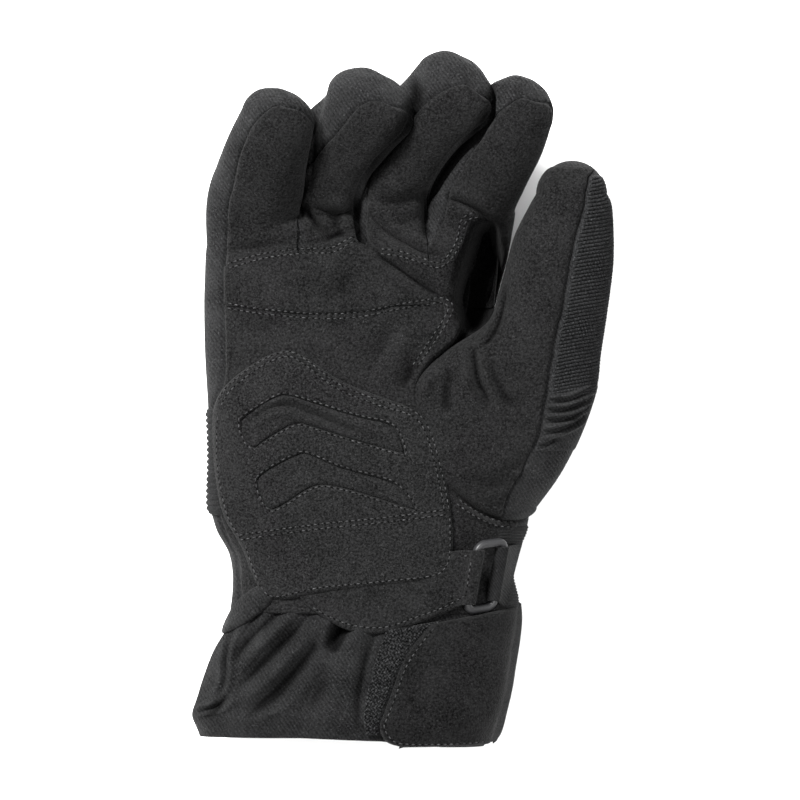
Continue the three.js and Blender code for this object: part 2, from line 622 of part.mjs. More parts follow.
addPiece('back_shell', backShell, softshell);
addPiece('palm_panel', palmPanel, suede);
fingers.forEach(({ name }, index) => {
  addPiece(`${name}_back`, fingerBacks[index], softshell);
  addPiece(`${name}_front`, fingerFronts[index], suede);
});
addPiece('thumb_front', thumbFront, suede);
addPiece('thumb_back', thumbBack, softshell);
addPiece('thumb_knit', thumbKnit, knit);
addPiece('thumb_pleats', thumbPleats, softshell);
addPiece('knuckle_patch', knucklePatch, suede);
addPiece('heel_patch', heelPatch, suede);
addPiece('upper_window_pad', upperPad, darkSuede);
addPiece('lower_window_pad', lowerPad, darkSuede);
addPiece('wrist_strap', wristStrap, suede);
addPiece('strap_ring', ringSolid, dullMetal);
addPiece('ring_keeper', ringKeeper, ribbed);
addPiece('left_elastic', elastic(leftElastic, -1), ribbed);
addPiece('right_elastic', elastic(rightElastic, 1), ribbed);
addPiece('cuff_shell', cuffShell, softshell);
addPiece('cuff_back', cuffBack, softshell);
addPiece('wrist_tuck', wristTuck, suede);
addPiece('pile_strip', pileStrip, pile);
addPiece('cuff_tab', cuffTab, darkSuede);

// The origin is under the middle of the glove, on the surface that it lies on
const extent = new THREE.Box3().setFromObject(glove);
const middle = extent.getCenter(new THREE.Vector3());
glove.position.set(-middle.x, -middle.y, -extent.min.z);

export default glove;
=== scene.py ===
import math
import bmesh
import bpy
import numpy as np
from mathutils.bvhtree import BVHTree
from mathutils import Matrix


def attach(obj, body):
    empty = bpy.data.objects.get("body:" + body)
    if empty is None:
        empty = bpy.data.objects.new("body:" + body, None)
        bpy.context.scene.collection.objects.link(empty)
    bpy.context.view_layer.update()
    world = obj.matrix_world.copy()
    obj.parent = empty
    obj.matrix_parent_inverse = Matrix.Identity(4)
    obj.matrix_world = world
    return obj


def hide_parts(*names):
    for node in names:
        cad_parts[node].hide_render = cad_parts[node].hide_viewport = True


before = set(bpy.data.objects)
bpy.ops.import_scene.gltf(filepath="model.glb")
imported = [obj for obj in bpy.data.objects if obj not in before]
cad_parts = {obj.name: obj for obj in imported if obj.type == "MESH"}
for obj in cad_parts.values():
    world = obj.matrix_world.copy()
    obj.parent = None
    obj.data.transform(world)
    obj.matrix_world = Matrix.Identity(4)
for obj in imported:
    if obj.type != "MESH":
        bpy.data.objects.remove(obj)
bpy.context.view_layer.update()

# Places across the glove are read off the photograph, whose frame is 800 pixels wide.
# x and y are pixels there, z and every thickness are millimetres, and makeMesh turns all into metres.
photo = {"millimetresPerPixel": 0.39, "originX": 399.5, "originY": 396.5}


def across(px):
    # Pixels right of the middle of the photograph, times the millimetres of one pixel
    return (np.asarray(px, float) - photo["originX"]) * photo["millimetresPerPixel"]


def along(py):
    # Pixels above the middle of the photograph, times the millimetres of one pixel
    return (photo["originY"] - np.asarray(py, float)) * photo["millimetresPerPixel"]


def plan(points):
    # Places of the photograph in millimetres
    xy = np.array(points, float)
    return np.column_stack([across(xy[:, 0]), along(xy[:, 1])])


def unit(vectors):
    # Each row divided by its length
    return vectors / np.linalg.norm(vectors, axis=1)[:, None]


def runLengths(run):
    # How far along a run each of its points lies
    return np.concatenate([[0], np.cumsum(np.linalg.norm(np.diff(run, axis=0), axis=1))])


def runPoints(run, at):
    # Points of a flat run at the given lengths along it
    length = runLengths(run)
    return np.column_stack([np.interp(at, length, run[:, k]) for k in range(2)])


def smoothRows(rows, count):
    # Catmull-Rom curve through the rows, read at even steps of the row number
    rows = np.array(rows, float)
    t = np.linspace(0, len(rows) - 1, count)
    i = np.clip(t.astype(int), 0, len(rows) - 2)
    f = (t - i)[:, None]
    a, b = rows[np.maximum(i - 1, 0)], rows[i]
    c, d = rows[i + 1], rows[np.minimum(i + 2, len(rows) - 1)]
    bend = 2 * b + (c - a) * f + (2 * a - 5 * b + 4 * c - d) * f ** 2
    return 0.5 * (bend + (3 * b - a - 3 * c + d) * f ** 3)


def smoothStep(low, high, value):
    # 0 before the low mark and 1 past the high one, with an S curve between: t squared times (3 less 2 t)
    t = np.clip((value - low) / (high - low), 0, 1)
    return t * t * (3 - 2 * t)


floorGap = 0.3                         # least height of cloth above the floor, millimetres
capLook = {"rings": 39, "tip": 0.004}  # rings of a rounded end, and the share of its width left open
fallAway = 200                         # height lost for each half width past a limb's side

# Limbs: the forms that every piece of cloth lies on. They hold the same sizes as the CAD solids.
# Upright limbs have sections across the glove: y, left, right, low, top.
bodyForm = {
    "square": 2.5,
    "rows": [
        (745, 195, 488, -3, 58), (720, 188, 496, -3, 58.4), (690, 194, 505, -3, 55.2),
        (650, 208, 511, -3, 50.6), (620, 225, 516, -3, 47.8), (597, 230, 517, -3, 45.9),
        (572, 231, 512, -3, 44.6), (550, 227, 517, -3, 44.3), (530, 216, 525, -3, 45.1),
        (515, 211, 529, -3, 45.6), (500, 207, 527, -3, 46), (450, 208, 520, -3, 46),
        (400, 206, 504, -3, 44.6), (350, 203, 493, -3, 42.3), (300, 202, 495, -2.3, 40.5),
        (267, 203, 498, 0, 39.6), (247, 204, 498, 3.2, 38.6), (229, 207, 492, 7.8, 36.8),
    ],
    "cap": 9, "blend": 0.9, "lowest": 6.0,
}
thumbForm = {
    "square": 2.2,
    "rows": [
        (504, 450, 537, 9.2, 42.6), (470, 409, 561, 7.8, 49.2), (430, 403, 581, 8.7, 51.5),
        (386, 407, 596, 11, 52.9), (350, 444, 600, 14.7, 54.3), (320, 488, 604, 19.3, 56.1),
        (290, 500, 608, 23.9, 58), (260, 508, 611, 27.6, 59.8), (232, 516, 611, 31.3, 60.7),
        (204, 530, 609, 34, 60.7), (192, 537, 604, 35.4, 60.3),
    ],
    "cap": 13,
    "startCap": 6.5,
}
# Fingers turn with their centrelines: x, y, z and half width
fingerForms = {
    "little": [(250, 300, 19.3, 17.6), (251, 250, 21.2, 18.0), (252, 204, 26.2, 18.0),
               (259, 176, 33.1, 17.5), (267, 148, 42.3, 16.2), (278, 120, 52.9, 14.4)],
    "ring": [(334, 300, 19.3, 14.6), (334, 250, 21.2, 14.4), (332, 204, 26.2, 12.8),
             (338, 165, 35, 12.8), (356, 131, 44.6, 15.4), (371, 105, 51.8, 18.4)],
    "middle": [(390, 300, 19.3, 16.0), (389, 250, 20.7, 16.0), (388, 215, 23.5, 16.0),
               (391, 180, 28.5, 15.7), (404, 150, 35, 15.7), (427, 118, 42.8, 16.2),
               (454, 90, 49.4, 17.8)],
    "index": [(460, 300, 19.3, 13.0), (465, 250, 20.7, 16.1), (468, 218, 23.5, 17.1),
              (472, 190, 28.5, 17.5), (487, 162, 35.9, 16.6), (504, 134, 44.6, 15.4),
              (516, 108, 51.5, 14.0)],
}
fingerShape = {"square": 2.3, "halfDepth": 13.0, "fullness": 1.06, "cap": 13.0, "rows": 110, "around": 130,
               "capRows": 46}
fingerGaps = {"ring": 2.8, "middle": 0.9, "index": 4.2}
# Share by which a finger's lower half bulges towards its left neighbour, so that no light passes there
fingerBulge = {"little": 0.0, "ring": 0.42, "middle": 0.20, "index": 0.34}


def uprightTable(form, count):
    # Smooth rows of an upright limb with rounded caps: past an end its section shrinks by a quarter circle
    y, left, right, low, top = np.array(form["rows"], float).T
    dense = smoothRows(np.column_stack([along(y), across(left), across(right), low, top]), count)

    def cap(end, length, direction):
        # Rows past an end, whose width and height shrink with the cosine as the place grows with the sine
        angle = np.linspace(0, 1, capLook["rings"] + 1)[1:] * math.pi / 2
        shrink = np.maximum(np.cos(angle), capLook["tip"])[:, None]
        middleX, middleZ = (end[1] + end[2]) / 2, (end[3] + end[4]) / 2
        centre = np.array([middleX, middleX, middleZ, middleZ])
        place = end[0] + direction * length * np.sin(angle)
        return np.column_stack([place, centre + (end[1:] - centre) * shrink])

    parts = [dense]
    if "cap" in form:
        parts.append(cap(dense[-1], form["cap"], 1))
    if "startCap" in form:
        parts.insert(0, cap(dense[0], form["startCap"], -1)[::-1])
    return np.vstack(parts)


bodyTable = uprightTable(bodyForm, 300)
thumbTable = uprightTable(thumbForm, 240)


def sectionAt(table, y):
    # Left, right, low and top of an upright limb, read between its rows
    return [np.interp(y, table[:, 0], table[:, k]) for k in (1, 2, 3, 4)]


def ringShape(angle, square):
    # Rounded square of half size 1: cosine and sine, each to the power of 2 / square, with its sign kept
    c, s = np.cos(angle), np.sin(angle)
    return np.sign(c) * np.abs(c) ** (2 / square), np.sign(s) * np.abs(s) ** (2 / square)


def uprightHeight(table, square, x, y):
    # Height of a rounded section's upper half, falling away steeply outside it
    left, right, low, top = sectionAt(table, y)
    u = np.abs(2 * x - left - right) / np.maximum(right - left, 1e-6)
    rise = np.maximum(1 - u ** square, 0) ** (1 / square)
    z = (low + top) / 2 + (top - low) / 2 * rise
    outside = (y < table[0, 0]) | (y > table[-1, 0])
    return z - np.maximum(u - 1, 0) * fallAway - np.where(outside, fallAway, 0)


def fingerPath(name):
    # Smooth centreline with its turning frame: ahead along it, side level, lift to the front
    rows = np.array(fingerForms[name], float)
    dense = smoothRows(np.column_stack([plan(rows), rows[:, 2:]]), fingerShape["rows"])
    ahead = unit(np.gradient(dense[:, :3], axis=0))
    side = unit(np.cross(ahead, [0, 0, 1]))
    lift = np.cross(side, ahead)
    wide = dense[:, 3]
    deep = np.minimum(wide / wide.max() * fingerShape["fullness"], 1) * fingerShape["halfDepth"]
    return {"centre": dense[:, :3], "ahead": ahead, "side": side, "lift": lift, "wide": wide, "deep": deep}


fingerPaths = {name: fingerPath(name) for name in fingerForms}


def fingerHeight(name, x, y):
    # Upper height of a finger near its root, where its sections are nearly upright
    path = fingerPaths[name]
    c = path["centre"]
    lean = np.maximum(np.abs(path["side"][:, 0]), 0.3)
    rise = np.maximum(path["lift"][:, 2], 0.3)
    cx, cz = np.interp(y, c[:, 1], c[:, 0]), np.interp(y, c[:, 1], c[:, 2])
    wide = np.interp(y, c[:, 1], path["wide"] / lean)
    deep = np.interp(y, c[:, 1], path["deep"] / rise)
    u = np.abs(x - cx) / wide
    square = fingerShape["square"]
    z = cz + deep * np.maximum(1 - u ** square, 0) ** (1 / square)
    return z - np.maximum(u - 1, 0) * fallAway - np.where(y < c[0, 1], 3 * (c[0, 1] - y), 0)


def smoothMax(heights, blend):
    # Soft maximum: blend times the log of the summed exponentials
    stack = np.stack(heights) / blend
    top = stack.max(axis=0)
    return blend * (top + np.log(np.exp(stack - top).sum(axis=0)))


# Folds and dents of the cloth: valleys along short paths in the photograph. Each row gives its path, its
# depth and width in millimetres, its lip, and 1 for a crisp fold, whose floor is sharp. A negative depth
# is a ridge. The lip raises the cloth beside the valley by that share of its depth.
# The depth of each fold also sets the painted shade in its floor, through palmShade.
palmFolds = [
    ([(412, 74), (416, 92), (414, 108), (404, 128), (390, 148), (375, 166), (364, 186)], 4.2, 3.2, 0.0, 0),
    ([(314, 108), (316, 136), (314, 164), (309, 192)], 2.4, 1.4, 0.0, 0),
    ([(487, 108), (470, 134), (450, 160), (432, 186)], 3.6, 1.6, 0.0, 0),
    ([(450, 484), (462, 495), (478, 507), (498, 514), (520, 514), (542, 502)], 3.0, 1.2, 0.5, 1),
    ([(304, 196), (318, 206), (334, 210), (350, 206), (360, 196)], 4.6, 2.0, 0.2, 1),
    ([(310, 220), (330, 225), (352, 222)], 3.2, 4.8, 0.0, 0),
    ([(298, 196), (310, 213), (327, 236)], 9.0, 1.6, 0.3, 1),
    ([(354, 194), (357, 218), (364, 243)], 7.0, 2.2, 0.3, 1),
    ([(316, 240), (332, 235), (350, 228)], 1.6, 1.4, 0.5, 0),
    ([(365, 207), (382, 226), (402, 239), (424, 250), (438, 252)], 3.0, 1.8, 0.5, 1),
    ([(376, 193), (398, 198), (424, 190)], 1.8, 2.8, 0.4, 0),
    ([(424, 184), (423, 210), (426, 240)], 5.5, 1.5, 0.0, 0),
    ([(446, 194), (464, 201), (481, 210), (498, 226)], 4.2, 1.5, 0.4, 1),
    ([(366, 240), (384, 256), (404, 270), (424, 284), (446, 296)], 3.0, 2.0, 0.6, 1),
    ([(226, 248), (262, 243), (300, 237)], 1.4, 1.8, 0.4, 0),
    ([(484, 216), (472, 250), (460, 290)], 6.0, 4.6, 0.0, 0),
    ([(398, 322), (384, 338), (370, 358)], 1.4, 3.4, 0.4, 0),
    ([(352, 268), (340, 284), (322, 296)], 1.2, 4.0, 0.3, 0),
    ([(240, 318), (270, 326), (296, 322)], 1.0, 3.4, 0.3, 0),
    ([(414, 352), (408, 372), (400, 386)], 2.4, 3.2, 0.3, 0),
    ([(468, 322), (458, 339), (447, 349), (435, 359), (424, 373), (418, 388), (424, 402)],
     4.5, 1.5, 0.1, 0),
]
thumbFolds = [
    ([(472, 341), (474, 361), (478, 379), (484, 391), (488, 404)], 4.2, 1.9, 0.6, 1),
    ([(486, 350), (492, 374), (503, 393), (516, 404)], 2.2, 2.6, 0.5, 0),
    ([(451, 364), (444, 386), (447, 412)], 2.4, 3.4, 0.4, 0),
    ([(438, 368), (430, 386), (433, 404)], 2.0, 2.0, 0.4, 0),
    ([(500, 283), (496, 305), (489, 323), (480, 335), (470, 341)], -2.2, 0.9, 0.0, 0),
    ([(506, 284), (502, 307), (495, 327), (486, 340), (474, 347)], 2.4, 0.9, 0.0, 0),
    ([(448, 482), (462, 495), (478, 507), (498, 514), (520, 514), (542, 502)], 3.0, 1.2, 0.5, 1),
    ([(470, 470), (488, 480), (506, 480)], 1.4, 3.0, 0.4, 0),
    ([(500, 470), (516, 462), (530, 448)], 1.0, 3.0, 0.4, 0),
    ([(520, 300), (528, 270), (538, 236)], 0.8, 5.0, 0.2, 0),
]
# Deep hollow between the root of the index finger and the thumb. Its keys shade, shadeWide and shadeBox set
# the painted shade round it.
webHollow = {
    "outline": [(480, 222), (494, 219), (499, 240), (504, 262), (499, 285), (492, 302), (482, 324),
                (469, 330), (461, 312), (456, 296), (462, 276), (470, 252), (475, 236)],
    "deep": 16.0, "shoulder": 2.4, "box": (452, 510, 216, 330),
    "shade": 2.2, "shadeWide": 8, "shadeBox": (430, 515, 205, 345),
}


def pathPoints(path, count=28):
    # Smooth curve through the points of a path, in millimetres
    return smoothRows(plan(path), count)


def nearestOnPath(x, y, points):
    # Distance of each point to a run of short straight pieces, and how far along the run it is, 0 to 1
    best, place = np.full(x.shape, 1e9), np.zeros(x.shape)
    for k in range(len(points) - 1):
        (px, py), (rx, ry) = points[k], points[k + 1] - points[k]
        t = np.clip(((x - px) * rx + (y - py) * ry) / max(rx * rx + ry * ry, 1e-12), 0, 1)
        gap = (x - px - t * rx) ** 2 + (y - py - t * ry) ** 2
        nearer = gap < best
        best = np.where(nearer, gap, best)
        place = np.where(nearer, (k + t) / (len(points) - 1), place)
    return np.sqrt(best), place


def foldHeight(x, y, table):
    # Sum of valleys: minus depth times a bell of the distance, plus lips, fading out at both ends
    z = np.zeros_like(x)
    for path, deep, wide, lip, crisp in table:
        points = pathPoints(path)
        reach = 4 * wide
        near = ((x > points[:, 0].min() - reach) & (x < points[:, 0].max() + reach)
                & (y > points[:, 1].min() - reach) & (y < points[:, 1].max() + reach))
        if not near.any():
            continue
        distance, place = nearestOnPath(x[near], y[near], points)
        d = distance / wide
        fade = np.sin(np.pi * np.clip(place, 0.02, 0.98)) ** 0.6
        valley = np.exp(-d ** (1.15 if crisp else 2)) - lip * np.exp(-(d - 1.9) ** 2)
        z[near] -= deep * fade * valley
    return z


def outlineDistance(x, y, points):
    # Signed distance to a closed outline, positive inside it. A point is inside if a ray from it crosses
    # the outline an odd number of times.
    closed = np.vstack([points, points[:1]])
    distance, _ = nearestOnPath(x, y, closed)
    inside = np.zeros(x.shape, bool)
    for (ax, ay), (bx, by) in zip(closed[:-1], closed[1:]):
        if ay != by:
            inside ^= ((ay > y) != (by > y)) & (x < (bx - ax) * (y - ay) / (by - ay) + ax)
    return np.where(inside, distance, -distance)


def closedOutline(corners, count, cuts=2):
    # Closed curve through the corners of an outline, cut round by averaging each corner with its neighbours
    xy = plan(corners)
    for _ in range(cuts):
        nxt = np.roll(xy, -1, axis=0)
        xy = np.stack([0.75 * xy + 0.25 * nxt, 0.25 * xy + 0.75 * nxt], axis=1).reshape(-1, 2)
    loop = np.vstack([xy, xy[:1]])
    return runPoints(loop, np.linspace(0, runLengths(loop)[-1], count, endpoint=False))


def waver(x, y, size, seed=0.0):
    # Slow unevenness of soft cloth: a few crossed sine waves of unlike lengths, about -1 to 1
    a = np.sin(x / size * 1.7 + 0.9 * np.sin(y / size * 1.1 + seed) + seed * 2.3)
    b = np.sin(y / size * 1.3 + 1.1 * np.sin(x / size * 0.8 + seed * 1.7) + 1.2)
    c = np.sin((x + y) / size * 0.9 + seed + 0.4) * np.sin((x - 1.3 * y) / size * 0.7 + 2.0 + seed)
    return (a + b + c) / 3


webRim = closedOutline(webHollow["outline"], 120)


def insideBox(x, y, left, right, top, bottom):
    # True in a box of the photograph
    return (x > across(left)) & (x < across(right)) & (y > along(bottom)) & (y < along(top))


def relief(x, y):
    # Folds of the palm with its slow unevenness and the hollow of the web
    z = foldHeight(x, y, palmFolds) + 0.5 * waver(x, y, 14) + 0.25 * waver(x, y, 6, 0.7)
    near = insideBox(x, y, *webHollow["box"])
    z[near] -= webHollow["deep"] * smoothStep(-webHollow["shoulder"], webHollow["shoulder"],
                                              outlineDistance(x[near], y[near], webRim))
    return z


limbNames = list(fingerForms)


def palmHeight(x, y):
    # Cloth surface of hand and finger roots seen from above, without the thumb
    limbs = [uprightHeight(bodyTable, bodyForm["square"], x, y)]
    limbs += [fingerHeight(name, x, y) for name in limbNames]
    return np.maximum(smoothMax(limbs, bodyForm["blend"]) + relief(x, y), bodyForm["lowest"])


def makeMesh(name, points, faces, smooth=True):
    # Mesh object in metres from points in millimetres
    mesh = bpy.data.meshes.new(name)
    mesh.from_pydata((np.asarray(points) * 0.001).tolist(), [], faces)
    mesh.polygons.foreach_set("use_smooth", np.full(len(mesh.polygons), smooth))
    mesh.update()
    piece = bpy.data.objects.new(name, mesh)
    bpy.context.collection.objects.link(piece)
    return piece


def gridFaces(rows, columns, wrap=False):
    # Quads between neighbouring rows and columns, and round the seam where the rows are rings
    i = np.arange(rows - 1)[:, None]
    j = np.arange(columns if wrap else columns - 1)[None, :]
    k = (j + 1) % columns
    a, b = i * columns + j, i * columns + k
    return np.stack([a, b, b + columns, a + columns], axis=-1).reshape(-1, 4)


def thicken(piece, millimetres):
    # Gives a sheet its thickness on the side away from its face
    wall = piece.modifiers.new("wall", "SOLIDIFY")
    wall.thickness = millimetres * 0.001
    wall.offset = -1
    wall.use_even_offset = False
    return piece


# A finger is pressed against its left neighbour from "start" on, in full from "ease" on, and with its own
# gap on its front from "front" on. Points within "core" of the neighbour's centreline stay.
pressLook = {"start": 236, "ease": 212, "front": 186, "level": 3, "gap": 0.5, "square": 2.2, "core": 0.25}


def pressAside(points, name, gap):
    # Pushes points out of a neighbouring finger: a point inside its surface moves out to it
    look = pressLook
    path = fingerPaths[name]
    flat = points.reshape(-1, 3)
    tree = path["centre"]
    first = np.argmax(tree[:, 1] > along(look["start"]))
    d2 = np.stack([((flat - spot) ** 2).sum(1) for spot in tree[first:]])
    k = d2.argmin(0) + first
    away = flat - tree[k]
    front = smoothStep(along(look["ease"]), along(look["front"]), flat[:, 1])
    front = front * smoothStep(-look["level"], look["level"], (away * path["lift"][k]).sum(1))
    gap = (gap - look["gap"]) * front + look["gap"] * (2 * front - 1)
    a = (away * path["side"][k]).sum(1) / (path["wide"][k] + gap)
    b = (away * path["lift"][k]).sum(1) / (path["deep"][k] + gap)
    c = (away * path["ahead"][k]).sum(1) / (fingerShape["cap"] + gap)
    square = look["square"]
    radius = (np.abs(a) ** square + np.abs(b) ** square + np.abs(c) ** square) ** (1 / square)
    push = np.where((radius < 1) & (radius > look["core"]), 1 / np.maximum(radius, look["core"]), 1)
    push = 1 + (push - 1) * smoothStep(along(look["start"]), along(look["ease"]), flat[:, 1])
    return (tree[k] + away * push[:, None]).reshape(points.shape)


print("limbs ready")


class Patchwork:
    # Collects grids of points into one mesh
    def __init__(self):
        self.points, self.faces, self.count = [], [], 0

    def grid(self, points, wrap=False, flip=False):
        # Rows and columns of points, joined by quads
        faces = gridFaces(points.shape[0], points.shape[1], wrap)
        if flip:
            faces = faces[:, ::-1]
        self.points.append(points.reshape(-1, 3))
        self.faces += (faces + self.count).tolist()
        self.count += points.shape[0] * points.shape[1]

    def capped(self, points, flip=False, first=False, last=True):
        # Tube of rings, closed by one face at its ends
        rows, columns = points.shape[:2]
        start = self.count
        self.grid(points, wrap=True, flip=flip)
        ring = np.arange(columns)
        if last:
            end = start + (rows - 1) * columns + ring
            self.faces.append((end[::-1] if flip else end).tolist())
        if first:
            begin = start + ring
            self.faces.append((begin if flip else begin[::-1]).tolist())

    def build(self, name, smooth=True):
        return makeMesh(name, np.vstack(self.points), self.faces, smooth)


def ruledPoints(edgeA, edgeB, rows, columns):
    # Straight lines between two smooth edges with as many corners each
    a, b = (smoothRows(plan(edge), columns) for edge in (edgeA, edgeB))
    v = np.linspace(0, 1, rows)[:, None, None]
    grid = a[None] * (1 - v) + b[None] * v
    return grid[..., 0], grid[..., 1]


def rimOf(x, y):
    # Closed rim of a grid: first row, last column, last row backwards, first column backwards
    xy = np.stack([x, y], axis=-1)
    return np.vstack([xy[0, :-1], xy[:-1, -1], xy[-1, :0:-1], xy[:0:-1, 0]])


def edgeRound(distance, wide):
    # Rounded edge: 0 at the rim and 1 from that width inwards, like a quarter circle
    t = np.clip(distance / wide, 0, 1)
    return np.sqrt(np.maximum(1 - (1 - t) ** 2, 0))


def turnsDown(x, y):
    # True where the grid's rows and columns turn clockwise as seen from above
    i, j = x.shape[0] // 2, x.shape[1] // 2
    a = (x[i, j + 1] - x[i, j]) * (y[i + 1, j] - y[i, j])
    b = (y[i, j + 1] - y[i, j]) * (x[i + 1, j] - x[i, j])
    return a - b < 0


lowestSheet = 14.0                     # sheets on the palm and cuff end this high above the floor


def laidHeight(x, y, rim, look, height, extra):
    # Height of the cloth below, plus a quarter of the sheet's lift at its rim and all of it inside
    distance, _ = nearestOnPath(x, y, np.vstack([rim, rim[:1]])[::3])
    z = height(x, y) + look["lift"] * (0.25 + 0.75 * edgeRound(distance, look.get("roll", 1.4)))
    return z if extra is None else z + extra(x, y, distance)


def ruledSheet(name, look, height, extra=None):
    # Sheet ruled between two edges, laid on the cloth below it
    x, y = ruledPoints(look["edgeA"], look["edgeB"], look["rows"], look["columns"])
    z = np.maximum(laidHeight(x, y, rimOf(x, y), look, height, extra), lowestSheet)
    mesh = Patchwork()
    mesh.grid(np.stack([x, y, z], axis=-1), flip=turnsDown(x, y))
    return thicken(mesh.build(name), look["thick"])


def polarSheet(name, look, height, extra=None):
    # Sheet of rings that shrink from an outline to its centre, laid on the cloth below it
    rim = closedOutline(look["outline"], look["around"], look.get("cuts", 2))
    middle = np.array([float(across(look["centre"][0])), float(along(look["centre"][1]))])
    share = (np.linspace(0.004, 1, look["rings"]) ** 0.9)[:, None, None]
    grid = middle + (rim - middle)[None] * share
    x, y = grid[..., 0], grid[..., 1]
    z = laidHeight(x, y, rim, look, height, extra)
    mesh = Patchwork()
    mesh.capped(np.stack([x, y, z], axis=-1), first=True, last=False, flip=turnsDown(x, y))
    return thicken(mesh.build(name), look["thick"])


def ringAngles(low, high, count):
    # Even angles between two that are given in degrees
    return np.linspace(math.radians(low), math.radians(high), count)


def shareAngle(share, square):
    # Angle of the section's point that lies at a share of the half width, on the front side
    c = np.sign(share) * np.abs(np.clip(share, -1, 1)) ** (square / 2)
    return np.arccos(np.clip(c, -1, 1))


def fingerPoint(name, place, angle, grow):
    # Point of a finger: place runs 0 to 1 along the centreline and 1 to 2 round the cap
    path = fingerPaths[name]
    index = np.clip(place, 0, 1) * (len(path["centre"]) - 1)
    at = {key: np.stack([np.interp(index, np.arange(len(value)), value[..., k]) for k in range(3)], axis=-1)
          for key, value in path.items() if value.ndim == 2}
    wide, deep = (np.interp(index, np.arange(len(path[k])), path[k]) for k in ("wide", "deep"))
    t = np.clip(place - 1, 0, 1) * math.pi / 2
    ringX, ringZ = ringShape(angle, fingerShape["square"])
    reach = (fingerShape["cap"] + grow) * np.sin(t)
    bulge = fingerBulge[name] * smoothStep(0.92, 0.72, place)
    ringX = ringX * (1 + bulge * (ringX < 0) * smoothStep(0.25, -0.35, ringZ))
    return (at["centre"] + at["ahead"] * reach[..., None]
            + at["side"] * ((wide + grow) * np.cos(t) * ringX)[..., None]
            + at["lift"] * ((deep + grow) * np.cos(t) * ringZ)[..., None])


# Below "to" a finger's front grows out of the palm, and its folds start between two heights
rootLook = {"to": 202, "rise": 0.9, "blend": 0.8, "foldsFrom": 16, "foldsTo": 24}


def settle(points, name, rooted=False):
    # Presses a finger against its neighbour, folds its root and keeps all cloth above the floor
    look = rootLook
    index = limbNames.index(name)
    if index > 0:
        points = pressAside(points, limbNames[index - 1], fingerGaps[name])
    x, y, z = points[..., 0], points[..., 1], points[..., 2]
    if rooted:
        body = uprightHeight(bodyTable, bodyForm["square"], x, y) + look["rise"]
        z = np.where(y < along(look["to"]), smoothMax([z, body], look["blend"]), z)
    z = z + smoothStep(look["foldsFrom"], look["foldsTo"], z) * relief(x, y)
    return np.stack([x, y, np.maximum(z, floorGap)], axis=-1)


# Suede strip on the front of each finger: place, left seam and right seam as shares of the half width
stripLook = {
    "rows": 170, "columns": 60, "lift": 0.8, "dip": -0.9, "roll": 1.6, "thick": 0.7, "endRound": 0.10,
    "groove": 0.9,
    "little": [(0.0, -0.54, 1.0), (0.2, -0.52, 1.0), (0.5, -0.45, 1.0), (0.8, -0.51, 1.0),
               (1.0, -0.52, 1.0), (1.4, -0.42, 0.99), (1.68, -0.26, 0.9)],
    "ring": [(0.0, -0.9, 0.95), (0.15, -0.85, 0.95), (0.28, -0.80, 0.62), (0.5, -0.95, 0.60),
             (0.58, -0.92, 0.67), (0.64, -0.66, 0.70), (0.72, -0.50, 0.71), (0.8, -0.38, 0.70),
             (0.9, -0.26, 0.75), (1.0, -0.20, 0.79), (1.2, -0.16, 0.84), (1.46, 0.04, 0.97)],
    "middle": [(0.0, -0.9, 0.95), (0.15, -0.8, 0.95), (0.25, -0.52, 0.93), (0.5, -0.48, 0.90),
               (0.6, -0.44, 0.91), (0.7, -0.34, 0.90), (0.8, -0.28, 0.86), (0.9, -0.22, 0.85),
               (1.0, -0.14, 0.87), (1.2, -0.07, 0.92), (1.46, 0.10, 0.98)],
    "index": [(0.0, -0.97, 1.0), (0.1, -0.95, 1.0), (0.2, -0.90, 1.0), (0.3, -0.66, 1.0),
              (0.4, -0.52, 1.0), (0.5, -0.44, 1.0), (0.6, -0.42, 1.0), (0.8, -0.44, 1.0),
              (0.9, -0.46, 1.0), (1.0, -0.40, 1.0), (1.2, -0.28, 1.0), (1.5, -0.06, 0.96)],
}


def stripSpan(name, a, b):
    # Place and share of a strip's point: b runs -1 to 1 between the seams, which close round at the tip
    table = np.array(stripLook[name])
    place = table[0, 0] + (table[-1, 0] - table[0, 0]) * a
    left, right = np.interp(place, table[:, 0], table[:, 1]), np.interp(place, table[:, 0], table[:, 2])
    t = np.clip((a - 1 + stripLook["endRound"]) / stripLook["endRound"], 0, 1)
    narrow = 0.06 + 0.94 * np.maximum(1 - t ** 2.6, 0.0) ** (1 / 2.6)
    return place, (left + right) / 2 + b * (right - left) / 2 * narrow


def fingerFront(name):
    # Suede strip that dips into its seams and stands a little above the softshell between them
    steps = np.linspace(0, 1, stripLook["rows"]), np.linspace(-1, 1, stripLook["columns"])
    a, b = np.meshgrid(*steps, indexing="ij")
    place, share = stripSpan(name, a, b)
    wide = fingerPaths[name]["wide"].mean()
    rim = np.minimum((1 - np.abs(b)) * wide * 0.9, (1 - a) * 60)
    grow = stripLook["dip"] + (stripLook["lift"] - stripLook["dip"]) * edgeRound(rim, stripLook["roll"])
    points = settle(fingerPoint(name, place, shareAngle(share, fingerShape["square"]), grow), name,
                    rooted=True)
    mesh = Patchwork()
    mesh.grid(points, flip=True)
    return thicken(mesh.build(name + "Front"), stripLook["thick"])


def seamGroove(name, place, angle):
    # Groove in a finger's softshell along both seams of its suede
    table = np.array(stripLook[name])
    share, _ = ringShape(angle, fingerShape["square"])
    wide = fingerPaths[name]["wide"].mean()
    left, right = (np.interp(place, table[:, 0], table[:, column]) for column in (1, 2))
    before, behind = place < table[-1, 0], (place - table[-1, 0]) * 20
    sides = sum(np.exp(-((gap * wide - 0.5) / 0.7) ** 2) for gap in (left - share, share - right)) * before
    end = np.exp(-((behind - 0.5) / 0.8) ** 2) * (share > left) * (share < right)
    return -stripLook["groove"] * (sides + end) * (np.sin(angle) > 0)


